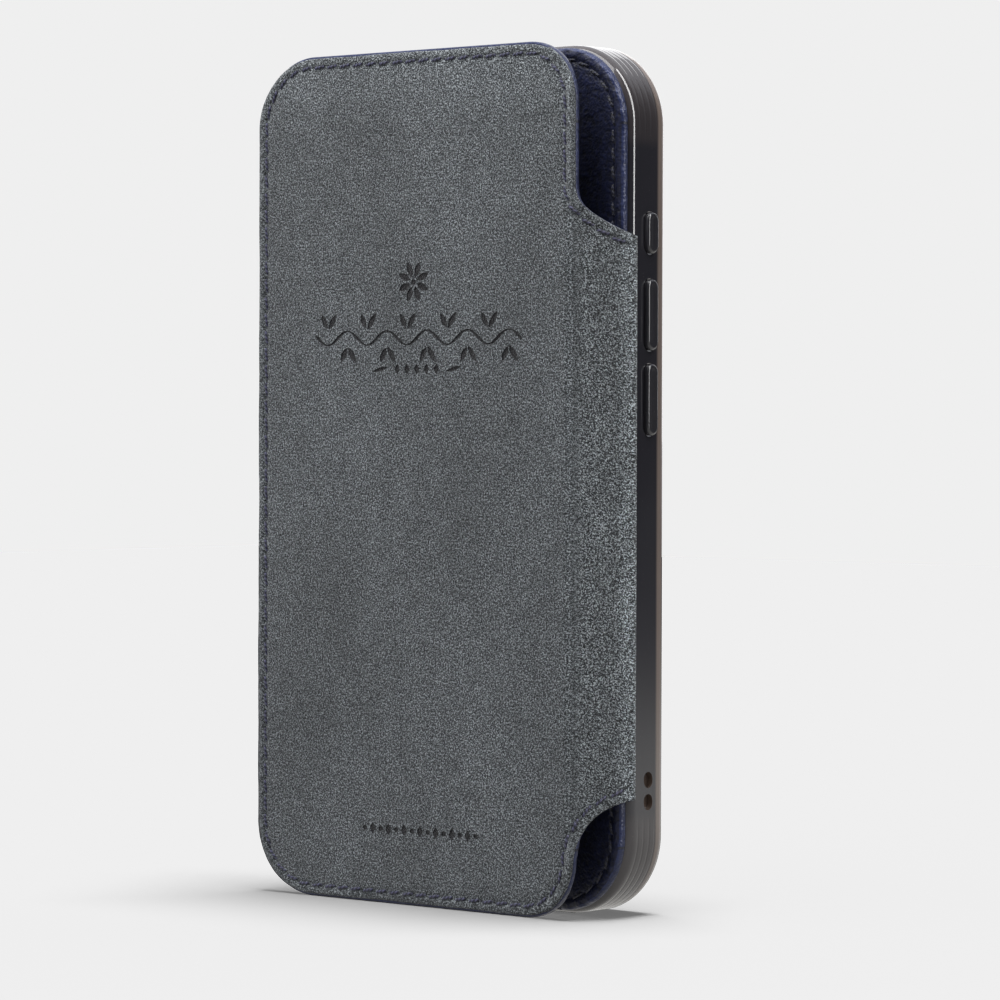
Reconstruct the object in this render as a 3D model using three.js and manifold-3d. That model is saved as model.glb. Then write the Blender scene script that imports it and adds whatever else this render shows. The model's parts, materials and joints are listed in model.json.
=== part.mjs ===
// Leather folio case for a 6.1-inch phone, with its flap folded right round to the back.
// It stands on its bottom edge. Lengths are in millimetres and angles in radians.
// +X is to the right as the back is seen, +Y points from the back to the screen side, +Z is up.
// While it is being built, X = 0 is the middle of the shell and Y = 0 is the back of its plate.

import * as THREE from 'three';
import { mergeVertices } from 'three/addons/utils/BufferGeometryUtils.js';
import Module from 'manifold-3d';

const wasm = await Module();
wasm.setup();

// ---- Driving dimensions ----------------------------------------------------------------------

// The space for the phone.
const BAY_WIDTH = 70.6;
const BAY_HEIGHT = 146.6;
const BAY_DEPTH = 8.25;

// The soft frame and the hard plate that closes its back.
const WALL = 1.5;
const LIP_DEPTH = 0.75;
const LIP_OVERHANG = 1.0;
const FRAME_CORNER = 14;
const FRAME_ROUNDING = 2;
const FRAME_FLANGE = 3;
const PLATE_DEPTH = 1.2;
const PLATE_GAP = 0.15;

// The bottom wall's openings, and the strap holes low in the right wall. The two strap holes are
// joined behind a thin bridge and closed towards the phone. All of them lie a little nearer to the
// screen side than the middle of the wall.
const PORT_WIDTH = 13.5;
const PORT_DEPTH = 6.6;
const SPEAKER_WIDTH = 14;
const SPEAKER_DEPTH = 3;
const SPEAKER_OFFSET = 16.75;
const SIDE_OPENING_SHIFT = 0.3;
const STRAP_HOLE_RADIUS = 1.35;
const STRAP_HOLE_HEIGHTS = [19.7, 23.5];
const STRAP_HOLE_DEPTH = 1.1;
const STRAP_BRIDGE = 0.5;
const STRAP_LINK_RADIUS = 1;

// The camera opening in the back, and the guard round it.
const CAMERA = { left: -31.9, right: 4.9, low: 108.3, high: 145.1 };
const CAMERA_CORNER = 9;
const GUARD_WALL = 1.3;
const GUARD_HEIGHT = 3.3;

// Button pads. Each floats in a window of the wall and can be pressed in.
const PAD_WIDTH = 3;
const PAD_RISE = 0.9;
const PAD_ROUNDING = 0.3;
const PAD_INNER_STEP = 0.55;
const PAD_GAP = 0.3;
const RIGHT_PADS = [
  { name: 'action_button_pad', height: 117.1, length: 7.1 },
  { name: 'volume_up_pad', height: 103.1, length: 12.2 },
  { name: 'volume_down_pad', height: 88.6, length: 12.3 },
];
const LEFT_PAD = { name: 'side_button_pad', height: 95, length: 17.5 };

// Magnets let into the plate.
const RING_RADIUS = 25;
const RING_WIDTH = 4.6;
const RING_COUNT = 16;
const RING_SPACING = 0.03;
const MAGNET_DEPTH = 0.55;
const MAGNET_GAP = 0.1;
const CARRIER_DEPTH = 0.15;
const BAR_WIDTH = 6;
const BAR_LENGTH = 18;
const BAR_CORNER = 1.5;
const BAR_DROP = 40;

// The leather on the back, with a thin board in a shallow pocket behind it.
const BACK_INSET = 0.6;
const BACK_THICKNESS = 1.3;
const BACK_BOARD_INSET = 6;
const BACK_BOARD_DEPTH = 0.45;

// The leather bends about three upright axes: from the back on to a narrow strip, from the strip
// on to the spine, and from the spine on to the flap. The first two bends share one turn equally.
const ROOT = { x: 37.9, y: -0.05 };
const FLAP_TURN = THREE.MathUtils.degToRad(50);
const ROOT_TURN = (Math.PI - FLAP_TURN) / 2;
const STRIP_LENGTH = 0.9;
const SPINE_LENGTH = 10.6;
const SPINE_THICKNESS = 1.1;
const ROOT_SETBACK = 1.9;
const FOLD_SETBACK = 1.2;
const BEND_RADIUS = 0.45;
const BEND_THICKNESS = 0.35;
const BEND_GAP = 0.25;
const LINING = 0.6;
const LAYER_GAP = 0.05;
const BEND_END_GAP = 2;
const SPINE_POCKET_MARGIN = 1;
const SPINE_POCKET_END = 6;
const SPINE_POCKET_DEPTH = 0.5;
const POCKET_CORNER = 0.6;

// The spine's two cut-away ends, from the flap's edge to the root, as cubic curves. Each point is a
// distance from the fold axis and a height.
const UPPER_END = [[0.8, 125], [0.8, 121.2], [4.6, 119.2], [12.3, 115.9]];
const LOWER_END = [[1.2, 12.1], [2.0, 14.6], [3.0, 19.3], [12.3, 20.7]];

// The flap.
const FLAP_WIDTH = 73.3;
const FLAP_THICKNESS = 1.6;
const FLAP_FREE_CORNER = 13;
const FLAP_HINGE_CORNER = 10.5;
const FLAP_TAB = 0.8;
const FLAP_TAB_HIGH = 126;
const FLAP_TAB_LOW = 11.5;
const FLAP_POCKET_INSET = 5;
const FLAP_POCKET_DEPTH = 1;
const FLAP_POCKET_CORNER = 8;
const FLAP_MAGNET = { width: 5, length: 20, inset: 6.5, heights: { lower: 45, upper: 105 } };

// Trims.
const LINING_INSET = 0.35;
const STITCH_INSET = 2;
const THREAD_WIDTH = 0.4;
const THREAD_RISE = 0.15;
const THREAD_SINK = 0.3;

// How finely curves are cut, and how far a cut runs past the face that it opens.
const ARC_STEPS = 4;
const RING_ARC_STEPS = 1;
const FRAME_ROUNDING_STEPS = 3;
const PAD_ROUNDING_STEPS = 2;
const HOLE_CURVES = { curveSegments: 6 };
const BEND_SIDES = 12;
const OVERRUN = 1;

// ---- Sizes that follow -----------------------------------------------------------------------

const HALF_WIDTH = BAY_WIDTH / 2 + WALL;
const HEIGHT = BAY_HEIGHT + 2 * WALL;
const DEPTH = PLATE_DEPTH + BAY_DEPTH + LIP_DEPTH;
const SIDE_MIDDLE = DEPTH / 2 + SIDE_OPENING_SHIFT;
const RING_HEIGHT = HEIGHT / 2;
const RING_CURVES = { curveSegments: RING_ARC_STEPS * RING_COUNT };
const SPINE = {
  x: ROOT.x + STRIP_LENGTH * Math.cos(ROOT_TURN),
  y: ROOT.y - STRIP_LENGTH * Math.sin(ROOT_TURN),
};
const FOLD = {
  x: SPINE.x - SPINE_LENGTH * Math.cos(FLAP_TURN),
  y: SPINE.y - SPINE_LENGTH * Math.sin(FLAP_TURN),
};
const MIDDLE = {
  x: (SPINE.x + BEND_RADIUS + FOLD.x - FLAP_WIDTH) / 2,
  y: (DEPTH + FOLD.y - LINING - THREAD_RISE) / 2,
};

// ---- Materials -------------------------------------------------------------------------------

const COLOURS = {
  smoke: { color: 0x3a3636, roughness: 0.18, metalness: 0 },
  pad: { color: 0x2e2b2d, roughness: 0.2, metalness: 0 },
  navy: { color: 0x1c2344, roughness: 0.55, metalness: 0 },
  suede: { color: 0x585d61, roughness: 0.95, metalness: 0 },
  thread: { color: 0x2c3563, roughness: 0.7, metalness: 0 },
  board: { color: 0x8d8578, roughness: 0.9, metalness: 0 },
  magnet: { color: 0xa9abad, roughness: 0.35, metalness: 1 },
};

// ---- Making solids ---------------------------------------------------------------------------

// A rectangle with rounded corners; each corner may have its own radius.
function roundedRect({ left, right, low, high }, radius, farRadius = radius) {
  const shape = new THREE.Shape();
  shape.absarc(right - farRadius, low + farRadius, farRadius, -Math.PI / 2, 0);
  shape.absarc(right - farRadius, high - farRadius, farRadius, 0, Math.PI / 2);
  shape.absarc(left + radius, high - radius, radius, Math.PI / 2, Math.PI);
  shape.absarc(left + radius, low + radius, radius, Math.PI, 1.5 * Math.PI);
  return shape;
}

function shrunk({ left, right, low, high }, by) {
  return { left: left + by, right: right - by, low: low + by, high: high - by };
}

// A slot with round ends about a middle point, longer along its second direction.
function pill(u, v, width, length) {
  const box = { left: u - width / 2, right: u + width / 2, low: v - length / 2, high: v + length / 2 };
  return roundedRect(box, width / 2);
}

function circle(u, v, radius) {
  return new THREE.Shape().absarc(u, v, radius, 0, 2 * Math.PI);
}

function extruded(outline, depth, options = {}) {
  return new THREE.ExtrudeGeometry(outline, {
    depth,
    bevelEnabled: false,
    curveSegments: ARC_STEPS,
    ...options,
  });
}

// An outline in X and Z, made solid between two values of Y.
function slab(outline, yLow, yHigh, options = {}) {
  const upright = extruded(outline, yHigh - yLow, options).rotateX(Math.PI / 2);
  return upright.translate(0, yHigh, 0);
}

// An outline in X and Y, made solid between two values of Z.
function column(outline, zLow, zHigh) {
  return extruded(outline, zHigh - zLow).translate(0, 0, zLow);
}

// An outline in Y and Z, made solid from one value of X on.
function sideways(geometry, xLow) {
  return geometry.rotateX(Math.PI / 2).rotateZ(Math.PI / 2).translate(xLow, 0, 0);
}

// A box given by its lowest and highest corners.
function block([x0, y0, z0], [x1, y1, z1]) {
  const box = new THREE.BoxGeometry(x1 - x0, y1 - y0, z1 - z0);
  return box.translate((x0 + x1) / 2, (y0 + y1) / 2, (z0 + z1) / 2);
}

function rod(x, radius, zLow, zHigh) {
  const cylinder = new THREE.CylinderGeometry(radius, radius, zHigh - zLow, BEND_SIDES);
  return cylinder.rotateX(Math.PI / 2).translate(x, 0, (zLow + zHigh) / 2);
}

function solid(geometry) {
  const bare = geometry.clone();
  bare.deleteAttribute('normal');
  bare.deleteAttribute('uv');
  const merged = mergeVertices(bare);
  return new wasm.Manifold(
    new wasm.Mesh({
      numProp: 3,
      vertProperties: new Float32Array(merged.attributes.position.array),
      triVerts: new Uint32Array(merged.index.array),
    }),
  );
}

function surface(manifold) {
  const mesh = manifold.getMesh();
  const geometry = new THREE.BufferGeometry();
  geometry.setAttribute('position', new THREE.BufferAttribute(mesh.vertProperties, 3));
  geometry.setIndex(new THREE.BufferAttribute(mesh.triVerts, 1));
  return geometry;
}

// The first geometry with all the others cut away.
function cut(base, ...tools) {
  return surface(tools.reduce((rest, tool) => rest.subtract(solid(tool)), solid(base)));
}

function joined(...pieces) {
  return surface(pieces.map(solid).reduce((sum, piece) => sum.add(piece)));
}

function common(a, b) {
  return surface(solid(a).intersect(solid(b)));
}

function piece(name, geometry, look) {
  const shown = geometry.index ? geometry.toNonIndexed() : geometry;
  shown.computeVertexNormals();
  const mesh = new THREE.Mesh(shown, new THREE.MeshStandardMaterial(COLOURS[look]));
  mesh.name = name;
  return mesh;
}

// ---- Shell -----------------------------------------------------------------------------------

const SHELL_BOX = { left: -HALF_WIDTH, right: HALF_WIDTH, low: 0, high: HEIGHT };

function shellOutline(inset) {
  return roundedRect(shrunk(SHELL_BOX, inset), FRAME_CORNER - inset);
}

function cameraOutline(grow) {
  return roundedRect(shrunk(CAMERA, -grow), CAMERA_CORNER + grow);
}

function frameBody() {
  return extruded(shellOutline(FRAME_ROUNDING), DEPTH - 2 * FRAME_ROUNDING, {
    bevelEnabled: true,
    bevelThickness: FRAME_ROUNDING,
    bevelSize: FRAME_ROUNDING,
    bevelSegments: FRAME_ROUNDING_STEPS,
  })
    .rotateX(Math.PI / 2)
    .translate(0, DEPTH - FRAME_ROUNDING, 0);
}

// Everything that is cut through the frame's walls.
function wallCuts() {
  const slot = (x, width, depth) => {
    const box = {
      left: x - width / 2,
      right: x + width / 2,
      low: SIDE_MIDDLE - depth / 2,
      high: SIDE_MIDDLE + depth / 2,
    };
    return column(roundedRect(box, depth / 2), -OVERRUN, WALL + OVERRUN);
  };
  const window = (pad, side) => {
    const outline = pill(SIDE_MIDDLE, pad.height, PAD_WIDTH + 2 * PAD_GAP, pad.length + 2 * PAD_GAP);
    const inner = BAY_WIDTH / 2 - OVERRUN;
    const reach = WALL + 2 * OVERRUN;
    return sideways(extruded(outline, reach), side > 0 ? inner : -inner - reach);
  };
  const strapHole = (height) => {
    const outline = circle(SIDE_MIDDLE, height, STRAP_HOLE_RADIUS);
    const bore = extruded(outline, STRAP_HOLE_DEPTH + OVERRUN, HOLE_CURVES);
    return sideways(bore, HALF_WIDTH - STRAP_HOLE_DEPTH);
  };
  const strapLink = () => {
    const [low, high] = STRAP_HOLE_HEIGHTS;
    const width = 2 * STRAP_LINK_RADIUS;
    const outline = pill(SIDE_MIDDLE, (low + high) / 2, width, high - low + width);
    return sideways(extruded(outline, STRAP_HOLE_DEPTH - STRAP_BRIDGE), HALF_WIDTH - STRAP_HOLE_DEPTH);
  };
  return [
    slot(0, PORT_WIDTH, PORT_DEPTH),
    slot(-SPEAKER_OFFSET, SPEAKER_WIDTH, SPEAKER_DEPTH),
    slot(SPEAKER_OFFSET, SPEAKER_WIDTH, SPEAKER_DEPTH),
    ...RIGHT_PADS.map((pad) => window(pad, 1)),
    window(LEFT_PAD, -1),
    ...STRAP_HOLE_HEIGHTS.map(strapHole),
    strapLink(),
  ];
}

function bumperFrame() {
  const bay = slab(shellOutline(WALL), PLATE_DEPTH, DEPTH - LIP_DEPTH);
  const mouth = slab(shellOutline(WALL + LIP_OVERHANG), DEPTH - LIP_DEPTH - OVERRUN, DEPTH + OVERRUN);
  const back = slab(shellOutline(FRAME_FLANGE), -OVERRUN, PLATE_DEPTH + OVERRUN);
  return cut(frameBody(), bay, mouth, back, ...wallCuts());
}

function barBox(grow) {
  const middle = RING_HEIGHT - BAR_DROP;
  return {
    left: -BAR_WIDTH / 2 - grow,
    right: BAR_WIDTH / 2 + grow,
    low: middle - BAR_LENGTH / 2 - grow,
    high: middle + BAR_LENGTH / 2 + grow,
  };
}

function backPlate() {
  const outline = shellOutline(FRAME_FLANGE + PLATE_GAP);
  outline.holes.push(cameraOutline(0));
  const groove = circle(0, RING_HEIGHT, RING_RADIUS + RING_WIDTH / 2 + MAGNET_GAP);
  groove.holes.push(circle(0, RING_HEIGHT, RING_RADIUS - RING_WIDTH / 2 - MAGNET_GAP));
  const floor = MAGNET_DEPTH + MAGNET_GAP;
  return cut(
    slab(outline, 0, PLATE_DEPTH),
    slab(groove, -OVERRUN, floor, RING_CURVES),
    slab(roundedRect(barBox(MAGNET_GAP), BAR_CORNER), -OVERRUN, floor),
  );
}

// Arc magnets side by side on one thin steel ring.
function magnetRing() {
  const outer = RING_RADIUS + RING_WIDTH / 2;
  const inner = RING_RADIUS - RING_WIDTH / 2;
  const carrier = circle(0, RING_HEIGHT, outer);
  carrier.holes.push(circle(0, RING_HEIGHT, inner));
  const step = (2 * Math.PI) / RING_COUNT;
  const top = MAGNET_DEPTH + LAYER_GAP;
  const arcs = [];
  for (let i = 0; i < RING_COUNT; i += 1) {
    const start = i * step + RING_SPACING / 2;
    const end = (i + 1) * step - RING_SPACING / 2;
    const arc = new THREE.Shape();
    arc.absarc(0, RING_HEIGHT, outer - LAYER_GAP, start, end);
    arc.absarc(0, RING_HEIGHT, inner + LAYER_GAP, end, start, true);
    arcs.push(slab(arc, LAYER_GAP, top, { curveSegments: RING_ARC_STEPS }));
  }
  return joined(slab(carrier, top - CARRIER_DEPTH, top, RING_CURVES), ...arcs);
}

function alignmentMagnet() {
  const outline = roundedRect(barBox(0), BAR_CORNER);
  return slab(outline, LAYER_GAP, MAGNET_DEPTH + LAYER_GAP);
}

function cameraGuard() {
  const ring = cameraOutline(GUARD_WALL);
  ring.holes.push(cameraOutline(0));
  return slab(ring, -GUARD_HEIGHT, 0);
}

function backBoardBox(inset) {
  return {
    left: -HALF_WIDTH + BACK_BOARD_INSET + inset,
    right: HALF_WIDTH - BACK_BOARD_INSET - inset,
    low: BACK_BOARD_INSET + inset,
    high: CAMERA.low - BACK_BOARD_INSET - inset,
  };
}

// The leather's thin edge towards the root axis starts at its right side and stops short of the bend.
function backLeather() {
  const outline = shellOutline(BACK_INSET);
  outline.holes.push(cameraOutline(GUARD_WALL + PAD_GAP));
  const [low, high] = [LOWER_END[3][1], UPPER_END[3][1]];
  const strip = block(
    [HALF_WIDTH - BACK_INSET - WALL, ROOT.y - BEND_THICKNESS, low],
    [ROOT.x - BEND_RADIUS - BEND_GAP, ROOT.y, high],
  );
  const board = slab(roundedRect(backBoardBox(0), WALL), -BACK_BOARD_DEPTH, OVERRUN);
  const grooves = [backStitching(LAYER_GAP), cameraStitching(LAYER_GAP)];
  return cut(joined(slab(outline, -BACK_THICKNESS, 0), strip), board, ...grooves);
}

function backBoard() {
  const outline = roundedRect(backBoardBox(PLATE_GAP), WALL - PLATE_GAP);
  return slab(outline, LAYER_GAP - BACK_BOARD_DEPTH, -LAYER_GAP);
}

function backStitching(slack = 0) {
  const ring = shellOutline(BACK_INSET + STITCH_INSET - slack);
  ring.holes.push(shellOutline(BACK_INSET + STITCH_INSET + THREAD_WIDTH + slack));
  return slab(ring, -BACK_THICKNESS, -BACK_THICKNESS + THREAD_SINK);
}

// The camera opening is sewn on its right and lower sides, where it is clear of the outer seam.
function cameraStitching(slack = 0) {
  const near = GUARD_WALL + PAD_GAP + STITCH_INSET;
  const ring = cameraOutline(near + THREAD_WIDTH + slack);
  ring.holes.push(cameraOutline(near - slack));
  const row = slab(ring, -BACK_THICKNESS, -BACK_THICKNESS + THREAD_SINK);
  const far = 2 * HALF_WIDTH;
  const turn = CAMERA_CORNER;
  const leftSide = block([-far, -far, 0], [CAMERA.left + turn, far, HEIGHT + far]);
  const topSide = block([-far, -far, CAMERA.high - turn], [far, far, HEIGHT + far]);
  return cut(row, leftSide, topSide);
}

function padBody(pad, side) {
  const bevel = PAD_ROUNDING;
  const outline = pill(SIDE_MIDDLE, pad.height, PAD_WIDTH - 2 * bevel, pad.length - 2 * bevel);
  const inner = BAY_WIDTH / 2 + PAD_INNER_STEP;
  const outer = HALF_WIDTH + PAD_RISE;
  const body = extruded(outline, outer - inner - 2 * bevel, {
    bevelEnabled: true,
    bevelThickness: bevel,
    bevelSize: bevel,
    bevelSegments: PAD_ROUNDING_STEPS,
  });
  return sideways(body, side > 0 ? inner + bevel : bevel - outer);
}

// ---- Spine -----------------------------------------------------------------------------------

// The strip runs from X = 0 to X = -STRIP_LENGTH in its own group, with a round bend at each side.
function rootStrip() {
  const [low, high] = [LOWER_END[3][1], UPPER_END[3][1]];
  return joined(
    rod(0, BEND_RADIUS, low, high),
    rod(-STRIP_LENGTH, BEND_RADIUS, low, high),
    block([-STRIP_LENGTH, -BEND_THICKNESS, low], [0, BEND_THICKNESS, high]),
  );
}

// In the spine's own group its first axis is at X = 0 and the fold axis at X = -SPINE_LENGTH.
// The suede side faces -Y. A curve's points are given from the fold towards the root.
function spinePoints(end, shift) {
  return end.map(([fromFold, height]) => [fromFold - SPINE_LENGTH, height + shift]);
}

function spineOutline(inset) {
  const upper = spinePoints(UPPER_END, -inset);
  const lower = spinePoints(LOWER_END, inset);
  const shape = new THREE.Shape();
  shape.moveTo(-SPINE_LENGTH, lower[0][1]);
  shape.lineTo(...lower[0]);
  shape.bezierCurveTo(...lower[1], ...lower[2], ...lower[3]);
  shape.lineTo(...upper[3]);
  shape.bezierCurveTo(...upper[2], ...upper[1], ...upper[0]);
  shape.lineTo(-SPINE_LENGTH, upper[0][1]);
  return shape;
}

// The part of a spine layer that lies between two distances from the spine's first axis.
function spineLayer(inset, from, to, yLow, yHigh) {
  const window = block([-to, yLow - OVERRUN, 0], [-from, yHigh + OVERRUN, HEIGHT]);
  return common(slab(spineOutline(inset), yLow, yHigh), window);
}

function spinePocket(inset) {
  const margin = SPINE_POCKET_MARGIN + inset;
  return {
    left: FOLD_SETBACK + margin - SPINE_LENGTH,
    right: -ROOT_SETBACK - margin,
    low: LOWER_END[3][1] + SPINE_POCKET_END + inset,
    high: UPPER_END[3][1] - SPINE_POCKET_END - inset,
  };
}

function spineLeather() {
  const stop = SPINE_LENGTH - FOLD_SETBACK;
  const panel = spineLayer(0, ROOT_SETBACK, stop, 0, SPINE_THICKNESS);
  const start = BEND_RADIUS + BEND_GAP;
  const rootEdge = spineLayer(0, start, ROOT_SETBACK + BEND_RADIUS, 0, BEND_THICKNESS);
  const foldEdge = spineLayer(0, stop - BEND_RADIUS, SPINE_LENGTH, 0, BEND_THICKNESS);
  const foldBend = rod(-SPINE_LENGTH, BEND_RADIUS, LOWER_END[0][1] + BEND_END_GAP, UPPER_END[0][1]);
  const pocket = slab(roundedRect(spinePocket(0), POCKET_CORNER), -OVERRUN, SPINE_POCKET_DEPTH);
  return cut(joined(panel, rootEdge, foldEdge, foldBend), pocket);
}

function spineStiffener() {
  const outline = roundedRect(spinePocket(PLATE_GAP), POCKET_CORNER);
  return slab(outline, LAYER_GAP, SPINE_POCKET_DEPTH - LAYER_GAP);
}

function spineLining() {
  const from = ROOT_SETBACK + LINING_INSET;
  const to = SPINE_LENGTH - FOLD_SETBACK;
  return spineLayer(LINING_INSET, from, to, -LINING, -LAYER_GAP);
}

// A row of thread on the suede that follows one end of the spine, a little way in from its edge.
function spineStitching(end, inward) {
  const [yLow, yHigh] = [-LINING - THREAD_RISE - LAYER_GAP, -LINING - LAYER_GAP];
  const near = spinePoints(end, inward * STITCH_INSET);
  const far = spinePoints(end, inward * (STITCH_INSET + THREAD_WIDTH));
  const shape = new THREE.Shape();
  shape.moveTo(...near[0]);
  shape.bezierCurveTo(...near[1], ...near[2], ...near[3]);
  shape.lineTo(...far[3]);
  shape.bezierCurveTo(...far[2], ...far[1], ...far[0]);
  const from = ROOT_SETBACK + 2 * LINING_INSET;
  const to = SPINE_LENGTH - FOLD_SETBACK - LINING_INSET;
  const window = block([-to, yLow - OVERRUN, 0], [-from, yHigh + OVERRUN, HEIGHT]);
  return common(slab(shape, yLow, yHigh), window);
}

// ---- Flap ------------------------------------------------------------------------------------

// In the flap's own group the fold axis is at X = 0 and the free edge at X = -FLAP_WIDTH. Past the
// spine's two ends the flap runs on a little beyond the fold as a tab.
function flapOutline(inset) {
  const left = inset - FLAP_WIDTH;
  const right = FLAP_TAB - inset;
  const fold = -FOLD_SETBACK - inset;
  const [low, high] = [inset, HEIGHT - inset];
  const free = FLAP_FREE_CORNER - inset;
  const near = FLAP_HINGE_CORNER - inset;
  const shape = new THREE.Shape();
  shape.absarc(right - near, low + near, near, -Math.PI / 2, 0);
  shape.lineTo(right, FLAP_TAB_LOW - inset);
  shape.lineTo(fold, FLAP_TAB_LOW - inset);
  shape.lineTo(fold, FLAP_TAB_HIGH + inset);
  shape.lineTo(right, FLAP_TAB_HIGH + inset);
  shape.absarc(right - near, high - near, near, 0, Math.PI / 2);
  shape.absarc(left + free, high - free, free, Math.PI / 2, Math.PI);
  shape.absarc(left + free, low + free, free, Math.PI, 1.5 * Math.PI);
  return shape;
}

function flapPocket(inset) {
  const box = { left: -FLAP_WIDTH, right: -FOLD_SETBACK, low: 0, high: HEIGHT };
  return roundedRect(shrunk(box, FLAP_POCKET_INSET + inset), FLAP_POCKET_CORNER - inset);
}

function flapLeather() {
  const bend = block(
    [-FOLD_SETBACK - OVERRUN, 0, FLAP_TAB_LOW + BEND_END_GAP],
    [-BEND_RADIUS - BEND_GAP, BEND_THICKNESS, FLAP_TAB_HIGH - BEND_END_GAP],
  );
  const body = joined(slab(flapOutline(0), 0, FLAP_THICKNESS), bend);
  return cut(body, slab(flapPocket(0), -OVERRUN, FLAP_POCKET_DEPTH));
}

function magnetOutline(height, grow) {
  const { width, length, inset } = FLAP_MAGNET;
  const middle = -FLAP_WIDTH + inset + width / 2;
  const outline = {
    left: middle - width / 2 - grow,
    right: middle + width / 2 + grow,
    low: height - length / 2 - grow,
    high: height + length / 2 + grow,
  };
  return roundedRect(outline, POCKET_CORNER);
}

function flapBoard() {
  const outline = flapPocket(PLATE_GAP);
  for (const height of Object.values(FLAP_MAGNET.heights)) {
    outline.holes.push(magnetOutline(height, MAGNET_GAP));
  }
  return slab(outline, LAYER_GAP, FLAP_POCKET_DEPTH - LAYER_GAP);
}

function flapMagnet(height) {
  return slab(magnetOutline(height, 0), 2 * LAYER_GAP, FLAP_POCKET_DEPTH - 2 * LAYER_GAP);
}

function seamOutline(inset) {
  const box = { left: -FLAP_WIDTH, right: FLAP_TAB, low: 0, high: HEIGHT };
  return roundedRect(shrunk(box, inset), FLAP_FREE_CORNER - inset, FLAP_HINGE_CORNER - inset);
}

// The seam on the suede runs round the flap and stops on each side of the spine.
function flapStitching() {
  const [low, high] = [-LINING - THREAD_RISE, -LINING];
  return cut(
    slab(seamOutline(STITCH_INSET), low, high),
    slab(seamOutline(STITCH_INSET + THREAD_WIDTH), low - OVERRUN, high + OVERRUN),
    block(
      [-FLAP_POCKET_INSET, low - OVERRUN, FLAP_TAB_LOW - STITCH_INSET],
      [FLAP_TAB + OVERRUN, high + OVERRUN, FLAP_TAB_HIGH + STITCH_INSET],
    ),
  );
}

// ---- Assembly --------------------------------------------------------------------------------

function buildShell() {
  const shell = new THREE.Group();
  shell.add(
    piece('bumper_frame', bumperFrame(), 'smoke'),
    piece('back_plate', backPlate(), 'smoke'),
    piece('camera_guard', cameraGuard(), 'smoke'),
    piece('magnet_ring', magnetRing(), 'magnet'),
    piece('alignment_magnet', alignmentMagnet(), 'magnet'),
    piece('back_board', backBoard(), 'board'),
    piece('back_leather', backLeather(), 'navy'),
    piece('back_stitching', backStitching(), 'thread'),
    piece('camera_stitching', cameraStitching(), 'thread'),
    ...RIGHT_PADS.map((pad) => piece(pad.name, padBody(pad, 1), 'pad')),
    piece(LEFT_PAD.name, padBody(LEFT_PAD, -1), 'pad'),
  );
  return shell;
}

function buildFlap() {
  const flap = new THREE.Group();
  flap.position.x = -SPINE_LENGTH;
  flap.rotation.z = -FLAP_TURN;
  flap.add(
    piece('flap_leather', flapLeather(), 'navy'),
    piece('flap_board', flapBoard(), 'board'),
    piece('flap_lining', slab(flapOutline(LINING_INSET), -LINING, -LAYER_GAP), 'suede'),
    piece('flap_stitching', flapStitching(), 'thread'),
  );
  for (const [place, height] of Object.entries(FLAP_MAGNET.heights)) {
    flap.add(piece(`flap_magnet_${place}`, flapMagnet(height), 'magnet'));
  }
  return flap;
}

function buildSpine() {
  const spine = new THREE.Group();
  spine.position.x = -STRIP_LENGTH;
  spine.rotation.z = -ROOT_TURN;
  spine.add(
    piece('spine_leather', spineLeather(), 'navy'),
    piece('spine_stiffener', spineStiffener(), 'board'),
    piece('spine_lining', spineLining(), 'suede'),
    piece('spine_stitching_upper', spineStitching(UPPER_END, -1), 'thread'),
    piece('spine_stitching_lower', spineStitching(LOWER_END, 1), 'thread'),
    buildFlap(),
  );
  return spine;
}

function buildStrip() {
  const strip = new THREE.Group();
  strip.position.set(ROOT.x, ROOT.y, 0);
  strip.rotation.z = Math.PI - ROOT_TURN;
  strip.add(piece('root_strip', rootStrip(), 'navy'), buildSpine());
  return strip;
}

const model = new THREE.Group();
model.name = 'phone_folio_case';
model.position.set(-MIDDLE.x, -MIDDLE.y, 0);
model.add(buildShell(), buildStrip());

export default model;
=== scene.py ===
"""Leather folio phone case, folded fully open: the parts that show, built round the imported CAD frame.

Every piece is worked out in millimetres in the case's own frame: X to the right as the back is
seen, with 0 in the middle of the shell, Y from the back to the screen side, with 0 on the back of
the plate, and Z up from the bottom edge. world() turns that into the shared frame in metres.
"""

import json
import math

import bmesh
import bpy
import numpy as np
from mathutils import Matrix, Vector
from mathutils.geometry import delaunay_2d_cdt

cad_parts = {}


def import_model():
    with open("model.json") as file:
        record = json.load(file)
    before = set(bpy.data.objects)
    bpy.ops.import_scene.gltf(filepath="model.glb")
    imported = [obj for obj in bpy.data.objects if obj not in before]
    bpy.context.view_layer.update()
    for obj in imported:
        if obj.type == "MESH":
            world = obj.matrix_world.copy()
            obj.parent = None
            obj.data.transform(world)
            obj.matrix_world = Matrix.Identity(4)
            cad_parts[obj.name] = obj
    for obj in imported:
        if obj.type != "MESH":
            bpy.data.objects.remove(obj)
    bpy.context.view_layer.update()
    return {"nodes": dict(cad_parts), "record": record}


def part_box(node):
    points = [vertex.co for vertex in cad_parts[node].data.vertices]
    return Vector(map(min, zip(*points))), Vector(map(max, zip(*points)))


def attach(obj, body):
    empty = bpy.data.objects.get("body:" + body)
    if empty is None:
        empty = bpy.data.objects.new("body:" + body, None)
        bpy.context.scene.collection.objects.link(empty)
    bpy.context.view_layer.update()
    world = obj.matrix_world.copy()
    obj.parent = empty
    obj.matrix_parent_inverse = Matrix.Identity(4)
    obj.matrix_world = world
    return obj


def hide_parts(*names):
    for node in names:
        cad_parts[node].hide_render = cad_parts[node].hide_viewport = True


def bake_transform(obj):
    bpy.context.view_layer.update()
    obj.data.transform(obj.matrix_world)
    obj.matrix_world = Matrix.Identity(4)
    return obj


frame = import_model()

MM = 0.001

# ---- Places taken from the frame

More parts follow.
